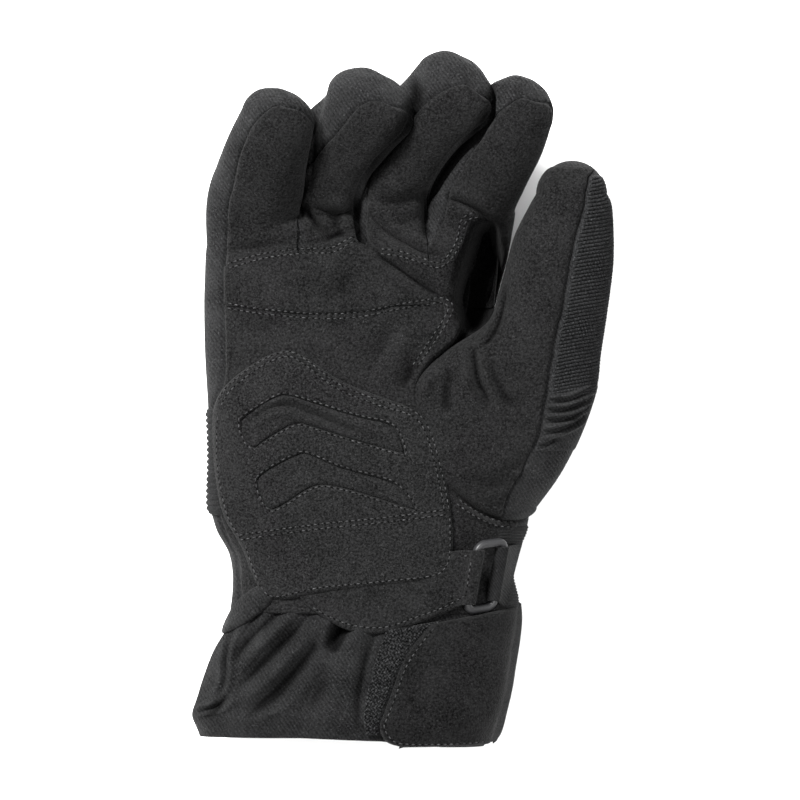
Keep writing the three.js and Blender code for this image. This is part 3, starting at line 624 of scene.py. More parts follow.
def tipDents(name, place, angle):
    # Slow crumples of the stiff cloth round a fingertip
    k = limbNames.index(name) + 1
    wave = np.sin(3 * angle + k + 2.2 * place) * np.sin(5.1 * place + 1.7 * k)
    wave = wave + 0.6 * np.sin(5 * angle + 2.3 * k) * np.sin(9 * place + k)
    return 0.38 * wave * np.cos(np.clip(place - 1, 0, 1) * math.pi / 2) ** 0.5


def fingerBack(name):
    # Closed tube of one finger with its rounded tip
    place = np.concatenate([np.linspace(0.1, 1, fingerShape["rows"]),
                            1 + np.linspace(0, 0.996, fingerShape["capRows"])[1:]])
    angle = np.linspace(0, 2 * math.pi, fingerShape["around"], endpoint=False)
    place, angle = np.meshgrid(place, angle, indexing="ij")
    grow = seamGroove(name, place, angle) + tipDents(name, place, angle)
    points = settle(fingerPoint(name, place, angle, grow), name)
    mesh = Patchwork()
    mesh.capped(points, flip=True)
    return mesh.build(name + "Back")


def limbTube(table, square, around, sink):
    # Rings of an upright limb at the rows of its table
    ringX, ringZ = ringShape(np.linspace(0, 2 * math.pi, around, endpoint=False), square)
    x = ((table[:, 1] + table[:, 2]) / 2)[:, None] + ((table[:, 2] - table[:, 1]) / 2)[:, None] * ringX
    z = ((table[:, 3] + table[:, 4]) / 2)[:, None] + ((table[:, 4] - table[:, 3]) / 2)[:, None] * ringZ
    y = np.repeat(table[:, :1], around, axis=1)
    z = z + sink(x, y, ringX[None], ringZ[None])
    return np.stack([x, y, np.maximum(z, floorGap)], axis=-1)


handLook = {"from": 609, "around": 180, "sunk": 3.0, "sunkTo": 250, "groove": 0.9, "grooveTo": 235}


def handBack():
    # Closed tube of the hand from the wrist to the roots of the fingers
    look = handLook

    def sink(x, y, ringX, ringZ):
        # Under the suede the shell lies lower, and a groove marks the seam down the side of the palm
        edge = np.array(palmLook["edgeA"], float)
        seam = np.interp(y, along(edge[:, 1]), across(edge[:, 0]))
        top = smoothStep(0, 0.3, ringZ)
        inner = smoothStep(0.5, 4.0, x - seam) * smoothStep(0.93, 0.85, ringX)
        inner = inner * top * (y < along(look["sunkTo"]))
        groove = np.exp(-((x - seam + 0.5) / 0.8) ** 2) * (y < along(look["grooveTo"])) * top
        return top * relief(x, y) - look["sunk"] * inner - look["groove"] * groove
    rows = bodyTable[bodyTable[:, 0] >= along(look["from"])]
    mesh = Patchwork()
    mesh.capped(limbTube(rows, bodyForm["square"], look["around"], sink), flip=True, first=True)
    return mesh.build("handBack")


palmLook = {
    "edgeA": [(243, 609), (240, 580), (238, 555), (226, 530), (216, 500), (212, 470), (211, 440),
              (213, 405), (224, 378), (225, 340), (224, 300), (225, 268)],
    "edgeB": [(506, 609), (507, 580), (509, 555), (515, 530), (521, 500), (518, 470), (512, 440),
              (499, 405), (491, 378), (487, 340), (489, 300), (491, 268)],
    "rows": 170, "columns": 210, "lift": 0.9, "thick": 0.8,
}
knuckleLook = {
    "edgeA": [(223, 263), (266, 251), (318, 248), (354, 238), (378, 248), (415, 251), (439, 260),
              (457, 246), (467, 220), (476, 219), (476, 240), (472, 264), (469, 295), (463, 320),
              (450, 344), (436, 357)],
    "edgeB": [(223, 301), (263, 307), (315, 311), (369, 308), (388, 304), (405, 300), (420, 298),
              (430, 297), (437, 297), (441, 299), (443, 303), (444, 309), (443, 316), (441, 324),
              (436, 334), (430, 345)],
    "rows": 64, "columns": 330, "lift": 2.0, "thick": 1.1,
}
heelLook = {
    "outline": [(212, 402), (225, 380), (258, 356), (285, 345), (305, 352), (340, 378), (380, 393),
                (415, 405), (431, 425), (445, 470), (451, 510), (453, 545), (451, 563), (438, 575),
                (380, 582), (320, 588), (280, 597), (262, 590), (252, 573), (240, 540), (220, 510),
                (212, 460), (210, 430)],
    "centre": (335, 478), "rings": 110, "around": 420, "lift": 3.4, "roll": 2.2, "thick": 1.4,
}
windowLooks = {
    "upper": [(237, 419), (250, 408), (279, 391), (288, 391), (310, 398), (360, 414), (386, 418),
              (397, 426), (406, 451), (399, 449), (360, 438), (312, 423), (297, 418), (267, 435),
              (251, 448)],
    "lower": [(255, 478), (263, 468), (299, 449), (307, 449), (343, 465), (386, 475), (400, 483),
              (417, 506), (409, 505), (367, 491), (343, 484), (322, 480), (309, 484), (281, 503),
              (268, 507)],
}
windowCentres = {"upper": (291, 405), "lower": (306, 466)}
windowSheet = {"rings": 40, "around": 260, "lift": 2.6, "thick": 0.8, "roll": 2.4, "cuts": 1}
windowRims = {key: closedOutline(corners, 220, 1) for key, corners in windowLooks.items()}


def heelExtra(x, y, distance):
    # Windows sunk by the patch's thickness, with a soft shoulder round each
    z = 0.5 * waver(x, y, 9, 0.6)
    for rim in windowRims.values():
        d = outlineDistance(x, y, rim)
        z = z - 2.6 * smoothStep(-0.35, 0.35, d) - 0.5 * np.exp(-((d + 0.7) / 0.8) ** 2)
    return z


def windowPad(key):
    # Settings of the sheet that fills one window
    return {"outline": windowLooks[key], "centre": windowCentres[key], **windowSheet}


print("sheets ready")

# Thumb: a full softshell tube, with suede, knit and pleats laid on it between their seams
thumbLook = {
    "seamY": [504, 470, 430, 386, 350, 320, 290, 260, 232, 204, 192, 176, 166],
    "seam": [0.22, 0.46, 0.506, 0.46, 0.37, 0.17, 0.15, 0.146, 0.20, 0.29, 0.34, 0.50, 0.95],
    "around": 180, "lift": 0.9, "dip": -0.9, "roll": 1.8, "thick": 0.7, "rows": 190, "columns": 90,
    "start": 8, "to": 163.5, "inner": 196, "sunk": 2.0, "sunkTo": 170, "groove": 0.9,
}
# In knitLook and pleatLook, dark is the depth in millimetres at which the painted shade in the low places
# is full
knitLook = {"from": 173, "to": 392, "outer": 0.18, "lift": 0.9, "course": 1.38, "stitch": 1.25,
            "deep": 1.15, "slant": 0.22, "dark": 0.6, "rows": 400, "columns": 96}
pleatLook = {"from": 380, "to": 448, "outer": 0.10, "lift": 0.7, "dark": 0.9, "rows": 120, "columns": 90}
# Valleys between the pleats, darkened by painted shade, from the seam outwards and up, in the order of the
# folds above
pleatValleys = [
    ([(541, 398), (553, 398), (566, 396), (580, 390), (597, 380)], 3.0, 0.9, 0.55, 0),
    ([(540, 407), (553, 407), (566, 404), (580, 398), (592, 392)], 3.0, 0.9, 0.55, 0),
    ([(537, 418), (553, 417), (566, 414), (578, 408), (590, 401)], 3.0, 0.9, 0.55, 0),
    ([(533, 430), (549, 428), (566, 422), (576, 416), (586, 409)], 3.0, 0.9, 0.55, 0),
    ([(530, 445), (542, 442), (554, 435)], 1.4, 0.9, 0.4, 0),
]


def thumbSeam(y):
    # Share of the half width at which the suede ends and the outer side begins
    return np.interp(y, along(thumbLook["seamY"]), thumbLook["seam"])


def seamAngle(y, aside=0.0):
    # Angle of the seam, or of a line a little aside of it
    return shareAngle(np.clip(thumbSeam(y) + aside, -1, 0.97), thumbForm["square"])


def thumbPoint(y, angle, grow):
    # Point of the thumb's rounded section, grown by a little, with its folds on the front
    left, right, low, top = sectionAt(thumbTable, y)
    ringX, ringZ = ringShape(angle, thumbForm["square"])
    x = (left + right) / 2 + np.maximum((right - left) / 2 + grow, 0.02) * ringX
    z = (low + top) / 2 + np.maximum((top - low) / 2 + grow, 0.02) * ringZ
    z = z + (foldHeight(x, y, thumbFolds) + 0.3 * waver(x, y, 13, 2.1)) * smoothStep(0, 0.4, ringZ)
    return np.stack([x, y, z], axis=-1)


def thumbBack():
    # Closed softshell tube of the thumb
    def sink(x, y, ringX, ringZ):
        # Groove beside the seam, and a lower shell under the suede
        seam = thumbSeam(y)
        inner = smoothStep(0.01, 0.08, seam - ringX) * smoothStep(0, 0.3, ringZ)
        inner = inner * (y < along(thumbLook["sunkTo"]))
        groove = np.exp(-((ringX - seam) * 40 / 0.9) ** 2) * (ringZ > 0)
        uneven = 0.3 * waver(x, y, 13, 2.1) * smoothStep(0, 0.4, ringZ)
        return uneven - thumbLook["sunk"] * inner - thumbLook["groove"] * groove
    mesh = Patchwork()
    mesh.capped(limbTube(thumbTable, thumbForm["square"], thumbLook["around"], sink), flip=True, first=True)
    return mesh.build("thumbBack")


def thumbSheet(name, y, angleA, angleB, look, ribs=None):
    # Sheet on the thumb between two angles for each row, with rims that dip into the seams
    v = np.linspace(0, 1, look["columns"])[None]
    angle = angleA[:, None] * (1 - v) + angleB[:, None] * v
    yy = np.repeat(y[:, None], look["columns"], axis=1)
    flat = thumbPoint(yy, angle, 0.0)
    run = np.linalg.norm(np.diff(flat, axis=1), axis=2).sum(1)[:, None]
    rim = np.minimum(np.minimum(v, 1 - v) * run, np.minimum(yy - y.min(), y.max() - yy) + 0 * v)
    dip = thumbLook["dip"]
    grow = dip + (look["lift"] - dip) * edgeRound(rim, thumbLook["roll"])
    if ribs is not None:
        high = ribs(yy, v * run, rim)
        grow = grow + high
    mesh = Patchwork()
    mesh.grid(thumbPoint(yy, angle, grow), flip=y[1] > y[0] and angleB[0] > angleA[0])
    piece = mesh.build(name)
    if ribs is not None:
        # Painted shade in the low places of the ribs, full where they sink by the look's dark
        dark = smoothStep(0.05, look["dark"], -high)
        piece.data.attributes.new("paintedCreaseShade", "FLOAT", "POINT").data.foreach_set("value", dark.ravel())
    return thicken(piece, thumbLook["thick"])


def thumbFront():
    # Suede from the seam round to the inner side
    look = thumbLook
    y = np.linspace(thumbTable[look["start"], 0], along(look["to"]), look["rows"])
    return thumbSheet("thumbFront", y, seamAngle(y), np.full(len(y), math.radians(look["inner"])), look)


def thumbKnit():
    # Ribbed knit between the outer side and the seam
    look = knitLook
    y = np.linspace(along(look["to"]), along(look["from"]), look["rows"])

    def loops(yy, aside, rim):
        # Courses climb a little to the right; each is a row of rounded loops with a groove under it,
        # darkened by painted shade
        course = (yy + look["slant"] * aside + 0.25 * np.sin(aside / 4)) / look["course"]
        loop = aside / look["stitch"] + 0.5 * np.floor(course)
        row = np.abs(np.sin(math.pi * course)) ** 0.8
        high = look["deep"] * (row * (0.78 + 0.22 * np.cos(2 * math.pi * loop)) - 0.55)
        return high * smoothStep(0.4, 1.6, rim) * smoothStep(0.0, 6.0, aside)
    return thumbSheet("thumbKnit", y, np.full(len(y), look["outer"]), seamAngle(y, 0.03), look, loops)


def thumbPleats():
    # Band of accordion pleats below the knit
    look = pleatLook
    y = np.linspace(along(look["to"]), along(look["from"]), look["rows"])
    outer, seam = np.full(len(y), look["outer"]), seamAngle(y, 0.03)

    def folds(yy, aside, rim):
        # Valleys found in the plan, fading out towards the outer side
        v = aside / np.maximum(aside.max(axis=1, keepdims=True), 1e-6)
        flat = thumbPoint(yy, outer[:, None] * (1 - v) + seam[:, None] * v, 0.0)
        return foldHeight(flat[..., 0], yy, pleatValleys) * smoothStep(1.5, 7.0, aside)
    return thumbSheet("thumbPleats", y, outer, seam, look, folds)


# Ring: its bars run along a rounded rectangle. The strap and the keeper lie round its long bars as sleeves,
# which they meet at one angle and follow to another, in degrees.
ringLook = {
    "centre": (33.2, -68.2, 45.3), "long": 29.6, "wide": 15.2, "bar": 3.1, "barSquare": 0.75,
    "barFlat": 0.92, "slope": 6.5, "tilt": 30.0, "lean": 9.8, "rise": 12.0, "corner": 3.0, "sleeve": 3.2,
    "meets": 50, "turnsTo": 235,
}


def ringAxes():
    # Short axis, sloped in the plan and tilted down; long axis, leaning and rising; and the normal
    slope, tilt, lean, rise = (math.radians(ringLook[key]) for key in ("slope", "tilt", "lean", "rise"))
    x = np.array([math.cos(tilt) * math.cos(slope), math.cos(tilt) * math.sin(slope), -math.sin(tilt)])
    y = np.array([math.cos(rise) * math.sin(lean), math.cos(rise) * math.cos(lean), math.sin(rise)])
    normal = np.cross(x, y)
    return x, y, normal / np.linalg.norm(normal)


def strapRing():
    # Rounded bar carried once round a rectangle with round corners
    ex, ey, ez = ringAxes()
    wide, long = (ringLook["wide"] - ringLook["bar"]) / 2, (ringLook["long"] - ringLook["bar"]) / 2
    r = ringLook["corner"]
    t = np.linspace(0, math.pi / 2, 12)
    corners = [(wide - r, long - r, 0), (r - wide, long - r, 1), (r - wide, r - long, 2),
               (wide - r, r - long, 3)]
    arcs = [(cx, cy, t + k * math.pi / 2) for cx, cy, k in corners]
    run = np.vstack([np.column_stack([cx + r * np.cos(a), cy + r * np.sin(a)]) for cx, cy, a in arcs])
    run = np.vstack([run, run[:1]])
    path = runPoints(run, np.linspace(0, runLengths(run)[-1], 160, endpoint=False))
    ahead = unit(np.roll(path, -1, 0) - np.roll(path, 1, 0))
    out = np.column_stack([ahead[:, 1], -ahead[:, 0]])
    angle = np.linspace(0, 2 * math.pi, 20, endpoint=False)
    c, s = np.cos(angle), np.sin(angle)
    barX = np.sign(c) * np.abs(c) ** ringLook["barSquare"] * ringLook["bar"] / 2
    barZ = np.sign(s) * np.abs(s) ** ringLook["barSquare"] * ringLook["bar"] / 2 * ringLook["barFlat"]
    flat = path[:, None, :] + out[:, None, :] * barX[None, :, None]
    centre = np.array(ringLook["centre"])
    points = centre + flat[..., :1] * ex + flat[..., 1:] * ey + barZ[None, :, None] * ez
    points = np.concatenate([points, points[:1]])
    mesh = Patchwork()
    mesh.grid(points, wrap=True)
    piece = mesh.build("strapRing")
    weld(piece)
    return piece


def weld(piece, distance=1e-6):
    # Joins points nearer than the distance, in metres, and points the faces outwards
    work = bmesh.new()
    work.from_mesh(piece.data)
    bmesh.ops.remove_doubles(work, verts=work.verts, dist=distance)
    bmesh.ops.recalc_face_normals(work, faces=work.faces)
    work.to_mesh(piece.data)
    work.free()


def barLine(side, reach):
    # Ends of the axis of one long bar: side -1 is the strap's, +1 the keeper's
    ex, ey, _ = ringAxes()
    centre = np.array(ringLook["centre"]) + ex * side * (ringLook["wide"] - ringLook["bar"]) / 2
    return centre + ey * reach, centre - ey * reach


def wrappedSheet(name, look, height, side):
    # Ruled sheet whose columns climb to a bar, meet its sleeve at a slope, and turn over it and back
    x, y = ruledPoints(look["edgeA"], look["edgeB"], look["rows"], look["columns"])
    top, bottom = barLine(side, look["reach"])
    v = np.linspace(0, 1, look["rows"])[:, None]
    bar = top * (1 - v) + bottom * v
    radius, meets = ringLook["sleeve"], math.radians(ringLook["meets"])
    goal = bar + radius * np.array([side * math.cos(meets), 0, math.sin(meets)])
    blend = smoothStep(look["climb"], 1.0, np.linspace(0, 1, look["columns"]))[None]
    x = x * (1 - blend) + goal[:, :1] * blend
    y = y * (1 - blend) + goal[:, 1:2] * blend
    rise = look["lift"] * (0.25 + 0.75 * edgeRound(np.minimum(v, 1 - v) * look["wide"], 1.4))
    z = (height(x, y) + rise) * (1 - blend) + goal[:, 2:3] * blend
    z = np.maximum(z, np.maximum(height(x, y) + 0.25 * look["lift"], look["lowest"]))
    turn = np.linspace(meets, math.radians(ringLook["turnsTo"]), 26)[1:]
    curl = bar[:, None, :] + radius * (np.cos(turn)[None, :, None] * np.array([side, 0.0, 0.0])
                                       + np.sin(turn)[None, :, None] * np.array([0.0, 0.0, 1.0]))
    points = np.concatenate([np.stack([x, y, z], axis=-1), curl], axis=1)
    mesh = Patchwork()
    mesh.grid(points, flip=turnsDown(points[..., 0][:, :8], points[..., 1][:, :8]))
    return thicken(mesh.build(name), look["thick"])


strapLook = {
    "edgeA": [(296, 588), (330, 580), (369, 563), (400, 556), (430, 550), (451, 546), (474, 546)],
    "edgeB": [(306, 600), (322, 612), (350, 626), (384, 628), (418, 618), (446, 608), (464, 596)],
    "rows": 60, "columns": 130, "lift": 2.2, "climb": 0.60, "reach": 11.0, "wide": 20, "thick": 1.2,
    "lowest": 10.0,
}
keeperLook = {
    "edgeA": [(523, 541), (517, 541), (510, 541), (504, 543)],
    "edgeB": [(506, 604), (502, 604), (498, 603), (494, 602)],
    "rows": 60, "columns": 60, "lift": 1.8, "climb": 0.10, "reach": 10.8, "wide": 20, "thick": 1.2,
    "lowest": 8.0,
}

cuffLook = {
    "from": 608, "to": 744, "rows": 110, "hemRows": 10, "liningRows": 20, "around": 240, "wall": 2.0,
    "lining": 40, "thick": 0.6, "mouth": 744.5, "shortFrom": 690,
    "mouthX": [190, 200, 225, 300, 380, 440, 500], "mouthShort": [6.0, 6.0, 6.4, 6.6, 5.4, 2.8, 2.0],
}
cuffFolds = [
    ([(352, 600), (346, 614), (338, 630), (330, 648)], 9.0, 3.0, 0.3, 0),
    ([(312, 604), (296, 626), (270, 652), (238, 684)], 3.4, 3.0, 0.6, 1),
    ([(328, 612), (310, 648), (280, 684), (244, 712)], 3.8, 3.4, 0.6, 1),
    ([(292, 598), (268, 618), (246, 640), (232, 662)], 3.0, 2.4, 0.5, 1),
    ([(330, 646), (322, 676), (308, 704)], 2.0, 4.2, 0.4, 0),
    ([(270, 596), (256, 612), (240, 634)], 2.4, 2.0, 0.5, 1),
    ([(233, 628), (226, 652), (225, 676), (216, 694)], 2.0, 1.1, 0.6, 1),
    ([(228, 690), (216, 706), (198, 714)], 3.0, 1.6, 0.6, 1),
    ([(378, 620), (366, 650), (358, 690), (358, 730)], 2.4, 1.8, 0.2, 0),
]


def cuffRelief(x, y):
    # Gathers of the cuff with its slow unevenness
    return foldHeight(x, y, cuffFolds) + 0.8 * waver(x, y, 12, 1.3)


def cuffHeight(x, y):
    # Upper face of the cuff, carried on past its mouth
    inside = np.maximum(y, along(cuffLook["mouth"]))
    return uprightHeight(bodyTable, bodyForm["square"], x, inside) + cuffRelief(x, y)


def cuffPoint(y, angle, grow, folded):
    # Point of the wrist's or cuff's rounded section, with gathers on its upper side and an uneven mouth
    left, right, low, top = sectionAt(bodyTable, y)
    ringX, ringZ = ringShape(angle, bodyForm["square"])
    x = (left + right) / 2 + ((right - left) / 2 + grow) * ringX
    z = (low + top) / 2 + ((top - low) / 2 + grow) * ringZ
    z = z + cuffRelief(x, y) * smoothStep(0.0, 0.5, ringZ) * folded
    short = np.interp(x, across(cuffLook["mouthX"]), cuffLook["mouthShort"])
    y = y + short * smoothStep(along(cuffLook["shortFrom"]), along(cuffLook["to"]), y)
    return np.stack([x, y, np.maximum(z, floorGap)], axis=-1)


def cuffPart(name, low, high, grow):
    # Outer face from the wrist to the mouth, a rolled hem, and the lining a little way back inside
    look = cuffLook
    y = np.linspace(along(look["from"]), along(look["to"]), look["rows"])
    turn = np.linspace(0, math.pi, look["hemRows"] + 2)[1:-1]
    wall = look["wall"]
    back = np.linspace(y[-1], y[-1] + look["lining"], look["liningRows"])
    yy = np.concatenate([y, y[-1] - np.sin(turn) * wall * 0.8, back])[:, None]
    inward = np.concatenate([0 * y, (1 - np.cos(turn)) / 2, np.ones(len(back))])[:, None]
    folded = np.concatenate([np.ones(len(y) + len(turn)), np.linspace(1, 0.9, len(back))])[:, None]
    angle = ringAngles(low, high, look["around"])[None]
    mesh = Patchwork()
    mesh.grid(cuffPoint(yy + 0 * angle, angle + 0 * yy, grow - wall * inward + 0 * angle, folded))
    return thicken(mesh.build(name), look["thick"])


tabLook = {
    "edgeA": [(430, 619), (412, 640), (400, 660), (391, 685), (383, 706), (379, 720), (386, 734),
              (402, 740)],
    "edgeB": [(522, 602), (523, 618), (521, 640), (517, 664), (513, 688), (508, 710), (503, 730),
              (497, 740)],
    "rows": 100, "columns": 120, "lift": 4.4, "roll": 1.6, "thick": 2.0,
}
pileLook = {
    "edgeA": [(386, 624), (374, 658), (366, 690), (363, 712), (366, 727)],
    "edgeB": [(440, 616), (420, 655), (410, 690), (402, 714), (400, 729)],
    "rows": 84, "columns": 240, "lift": 2.2, "roll": 0.8, "thick": 0.8, "loops": 0.25,
}
tuckLook = {
    "outline": [(263, 579), (246, 588), (232, 602), (222, 620), (219, 632), (234, 626), (250, 616),
                (264, 606), (276, 592)],
    "centre": (246, 604), "rings": 50, "around": 160, "lift": 3.6, "roll": 4.5, "thick": 1.0,
}
elasticMesh = {"rows": 200, "columns": 50, "dip": -0.4, "roll": 1.5, "thick": 0.8}
elasticLooks = {
    "left": {"from": 512, "to": 405, "low": 150, "high": 205, "pitch": 2.3, "lift": 0.8, "deep": 0.8},
    "right": {"from": 606, "to": 522, "low": -28, "high": 40, "pitch": 1.15, "lift": 0.7, "deep": 0.4},
}


def elasticBand(side):
    # Band over the side of the wrist, ribbed across: the ribs are the rectified sine of the place along it
    look, dip = elasticLooks[side], elasticMesh["dip"]
    y = np.linspace(along(look["from"]), along(look["to"]), elasticMesh["rows"])
    angle = ringAngles(look["low"], look["high"], elasticMesh["columns"])
    yy, aa = np.meshgrid(y, angle, indexing="ij")
    rim = np.minimum(np.minimum(yy - y[0], y[-1] - yy), np.minimum(aa - angle[0], angle[-1] - aa) * 25)
    ribs = look["deep"] * (np.abs(np.sin(math.pi * yy / look["pitch"])) ** 0.8 - 0.5)
    grow = dip + (look["lift"] - dip) * edgeRound(rim, elasticMesh["roll"]) + ribs * smoothStep(0, 2, rim)
    mesh = Patchwork()
    mesh.grid(cuffPoint(yy, aa, grow, 0.0), flip=True)
    return thicken(mesh.build(side + "Elastic"), elasticMesh["thick"])


print("fittings ready")

# Stitches: short rounded threads along named lines of the photograph, dropped on the cloth that lies on top
# there. Each seam gives its line and its number of rows.
stitchLook = {"pitch": 2.45, "length": 1.35, "thick": 0.46, "gap": 1.85, "around": 8, "proud": 0.12,
              "hole": 0.8, "bow": 0.28, "steepest": 2.5, "windowGap": 0.55}
patchSeams = [
    ([(226, 263), (262, 253), (300, 248), (330, 247), (345, 240), (353, 236)], 2),
    ([(379, 248), (400, 251), (423, 258), (437, 262), (449, 254), (459, 236), (462, 220), (468, 214),
      (476, 212)], 2),
    ([(226, 302), (262, 308), (320, 313), (360, 311), (395, 304), (425, 299), (441, 297), (450, 303),
      (447, 313), (438, 328), (426, 346), (415, 362)], 2),
]
heelSeams = [
    ([(218, 402), (229, 385), (260, 361), (286, 351), (304, 358), (338, 383), (378, 399), (412, 410),
      (427, 428), (439, 470), (446, 506)], 2),
    ([(238, 534), (262, 530), (320, 522), (380, 516), (445, 508)], 2),
    ([(217, 412), (217, 460), (226, 508), (240, 534)], 1),
    ([(245, 540), (252, 562), (262, 584), (276, 592), (320, 583), (380, 577), (432, 571), (445, 562),
      (449, 548), (449, 514)], 1),
]
strapSeams = [
    ([(312, 602), (326, 610), (352, 620), (384, 622), (416, 612), (444, 602), (462, 592)], 1),
    ([(455, 552), (470, 551)], 1),
    ([(470, 556), (465, 590)], 1),
    ([(456, 497), (475, 510), (495, 519), (512, 521)], 2),
]
tabSeams = [
    ([(434, 622), (417, 643), (405, 662), (396, 687), (388, 708), (384, 719), (391, 731), (404, 736),
      (450, 737), (494, 736)], 1),
]


def evenPath(points, pitch):
    # Points at even steps along a flat run
    return runPoints(points, np.arange(pitch / 2, runLengths(points)[-1], pitch))


def flatRuns(path, rows):
    # One run for each row of stitches, moved aside by half the gap between a pair of rows
    points = pathPoints(path, 160)
    ahead = unit(np.gradient(points, axis=0))
    aside = np.column_stack([ahead[:, 1], -ahead[:, 0]]) * stitchLook["gap"] / 2
    return [points + aside, points - aside] if rows == 2 else [points]


def outsideRim(rim, gap):
    # The same closed rim, grown by a gap
    ahead = unit(np.roll(rim, -1, 0) - np.roll(rim, 1, 0))
    turn = np.sign(np.sum(rim[:, 0] * np.roll(rim[:, 1], -1) - np.roll(rim[:, 0], -1) * rim[:, 1]))
    grown = rim + np.column_stack([ahead[:, 1], -ahead[:, 0]]) * gap * turn
    return np.vstack([grown, grown[:1]])


def dropped(flat, trees):
    # Height of the topmost cloth below each point
    heights = np.full(len(flat), -1.0)
    for k, (x, y) in enumerate(flat * 0.001):
        for tree in trees:
            spot = tree.ray_cast((x, y, 0.2), (0, 0, -1))[0]
            if spot is not None:
                heights[k] = max(heights[k], spot.z * 1000)
    return heights


def repeatedFaces(rings, flip=False):
    # Faces of many short closed tubes, whose rings lie one after another
    count, rows, around = rings.shape[:3]
    start = (np.arange(count) * rows * around)[:, None]
    quads = (gridFaces(rows, around, wrap=True)[None] + start[:, :, None]).reshape(-1, 4)
    first = np.arange(around)[None] + start
    last = first + (rows - 1) * around
    if flip:
        return quads[:, ::-1].tolist() + first.tolist() + last[:, ::-1].tolist()
    return quads.tolist() + first[:, ::-1].tolist() + last.tolist()


def threads(name, runs, trees):
    # One capsule for each stitch: rings along its length that close at both ends. Gives back the places of
    # the needle holes too.
    look = stitchLook
    half = look["length"] / 2
    spots = [evenPath(run, look["pitch"]) for run in runs]
    flat, heads = np.vstack(spots), np.vstack([unit(np.gradient(run, axis=0)) for run in spots])
    middle = dropped(flat, trees)
    before, after = dropped(flat - heads * half * 0.8, trees), dropped(flat + heads * half * 0.8, trees)
    keep = (middle > 0) & (np.abs(after - before) < look["steepest"])
    centre = np.column_stack([flat, np.maximum(middle, (before + after) / 2) + look["proud"]])[keep]
    ahead = unit(np.column_stack([heads * half * 1.6, after - before])[keep])
    side = unit(np.cross(ahead, [0, 0, 1.0]))
    lift = np.cross(side, ahead)
    place = np.array([-1, -0.94, -0.75, -0.3, 0.3, 0.75, 0.94, 1]) * half
    radius = np.array([0.15, 0.55, 0.88, 1, 1, 0.88, 0.55, 0.15]) * look["thick"] / 2
    angle = np.linspace(0, 2 * math.pi, look["around"], endpoint=False)
    bow = -look["bow"] * (place / half) ** 2
    rings = (centre[:, None, None] + ahead[:, None, None] * place[None, :, None, None]
             + lift[:, None, None] * bow[None, :, None, None]
             + side[:, None, None] * (radius[:, None] * np.cos(angle))[None, :, :, None]
             + lift[:, None, None] * (radius[:, None] * np.sin(angle))[None, :, :, None])
    piece = makeMesh(name, rings.reshape(-1, 3), repeatedFaces(rings))
    return piece, centre + ahead * look["pitch"] / 2, side, lift


def needleHoles(name, centre, side, lift):
    # A small dark dome of thread and shadow where each stitch goes through the cloth
    angle = np.linspace(0, 2 * math.pi, stitchLook["around"], endpoint=False)
    ahead = np.cross(lift, side)
    size = stitchLook["hole"] / 2
    levels = [(1.0, -0.30), (0.95, -0.06), (0.5, 0.0)]
    rings = np.stack([centre[:, None] + (side[:, None] * np.cos(angle)[None, :, None]
                                         + ahead[:, None] * np.sin(angle)[None, :, None]) * size * wide
                      + lift[:, None] * high for wide, high in levels], axis=1)
    piece = makeMesh(name, rings.reshape(-1, 3), repeatedFaces(rings, flip=True))
    weld(piece, 1e-9)
    return piece


# Shader groups
def nodeGroup(name, inputs, outputs):
    # Empty group with named float inputs and outputs
    group = bpy.data.node_groups.new(name, "ShaderNodeTree")
    for title, value in inputs:
        socket = group.interface.new_socket(title, in_out="INPUT", socket_type="NodeSocketFloat")
        socket.default_value = value
    for title, kind in outputs:
        group.interface.new_socket(title, in_out="OUTPUT", socket_type=kind)
    return group, group.nodes.new("NodeGroupInput"), group.nodes.new("NodeGroupOutput")


def feed(tree, socket, value):
    # Links a socket to another, or gives it a number
    if isinstance(value, bpy.types.NodeSocket):
        tree.links.new(value, socket)
    else:
        socket.default_value = value


def mathNode(tree, operation, *values):
    # Math node on up to three values
    node = tree.nodes.new("ShaderNodeMath")
    node.operation = operation
    for socket, value in zip(node.inputs, values):
        feed(tree, socket, value)
    return node.outputs[0]


def rangeNode(tree, value, low=0.0, high=1.0, toLow=0.0, toHigh=1.0, clamp=True):
    # Straight line from one range to another
    node = tree.nodes.new("ShaderNodeMapRange")
    node.clamp = clamp
    limits = {"Value": value, "From Min": low, "From Max": high, "To Min": toLow, "To Max": toHigh}
    for title, number in limits.items():
        feed(tree, node.inputs[title], number)
    return node.outputs[0]


def noiseNode(tree, place, scale, detail, roughness=0.5):
    # Noise on Object coordinates
    node = tree.nodes.new("ShaderNodeTexNoise")
    looks = {"Vector": place, "Scale": scale, "Detail": detail, "Roughness": roughness}
    for title, number in looks.items():
        feed(tree, node.inputs[title], number)
    return node.outputs[0]


def mixNode(tree, share, first, second):
    # First value at share 0 and second at share 1
    node = tree.nodes.new("ShaderNodeMix")
    for k, value in {0: share, 2: first, 3: second}.items():
        feed(tree, node.inputs[k], value)
    return node.outputs[0]


# Noise scales count waves in a metre. The twill slants along "aim" and is waved by "warp" radians.
grainLook = {"detail": 3.0, "roughness": 0.65, "slow": 70.0, "fine": 1500.0, "aim": (0.82, 0.57, 0.0),
             "warp": 14.0, "specks": 1.6, "depth": 0.0004}


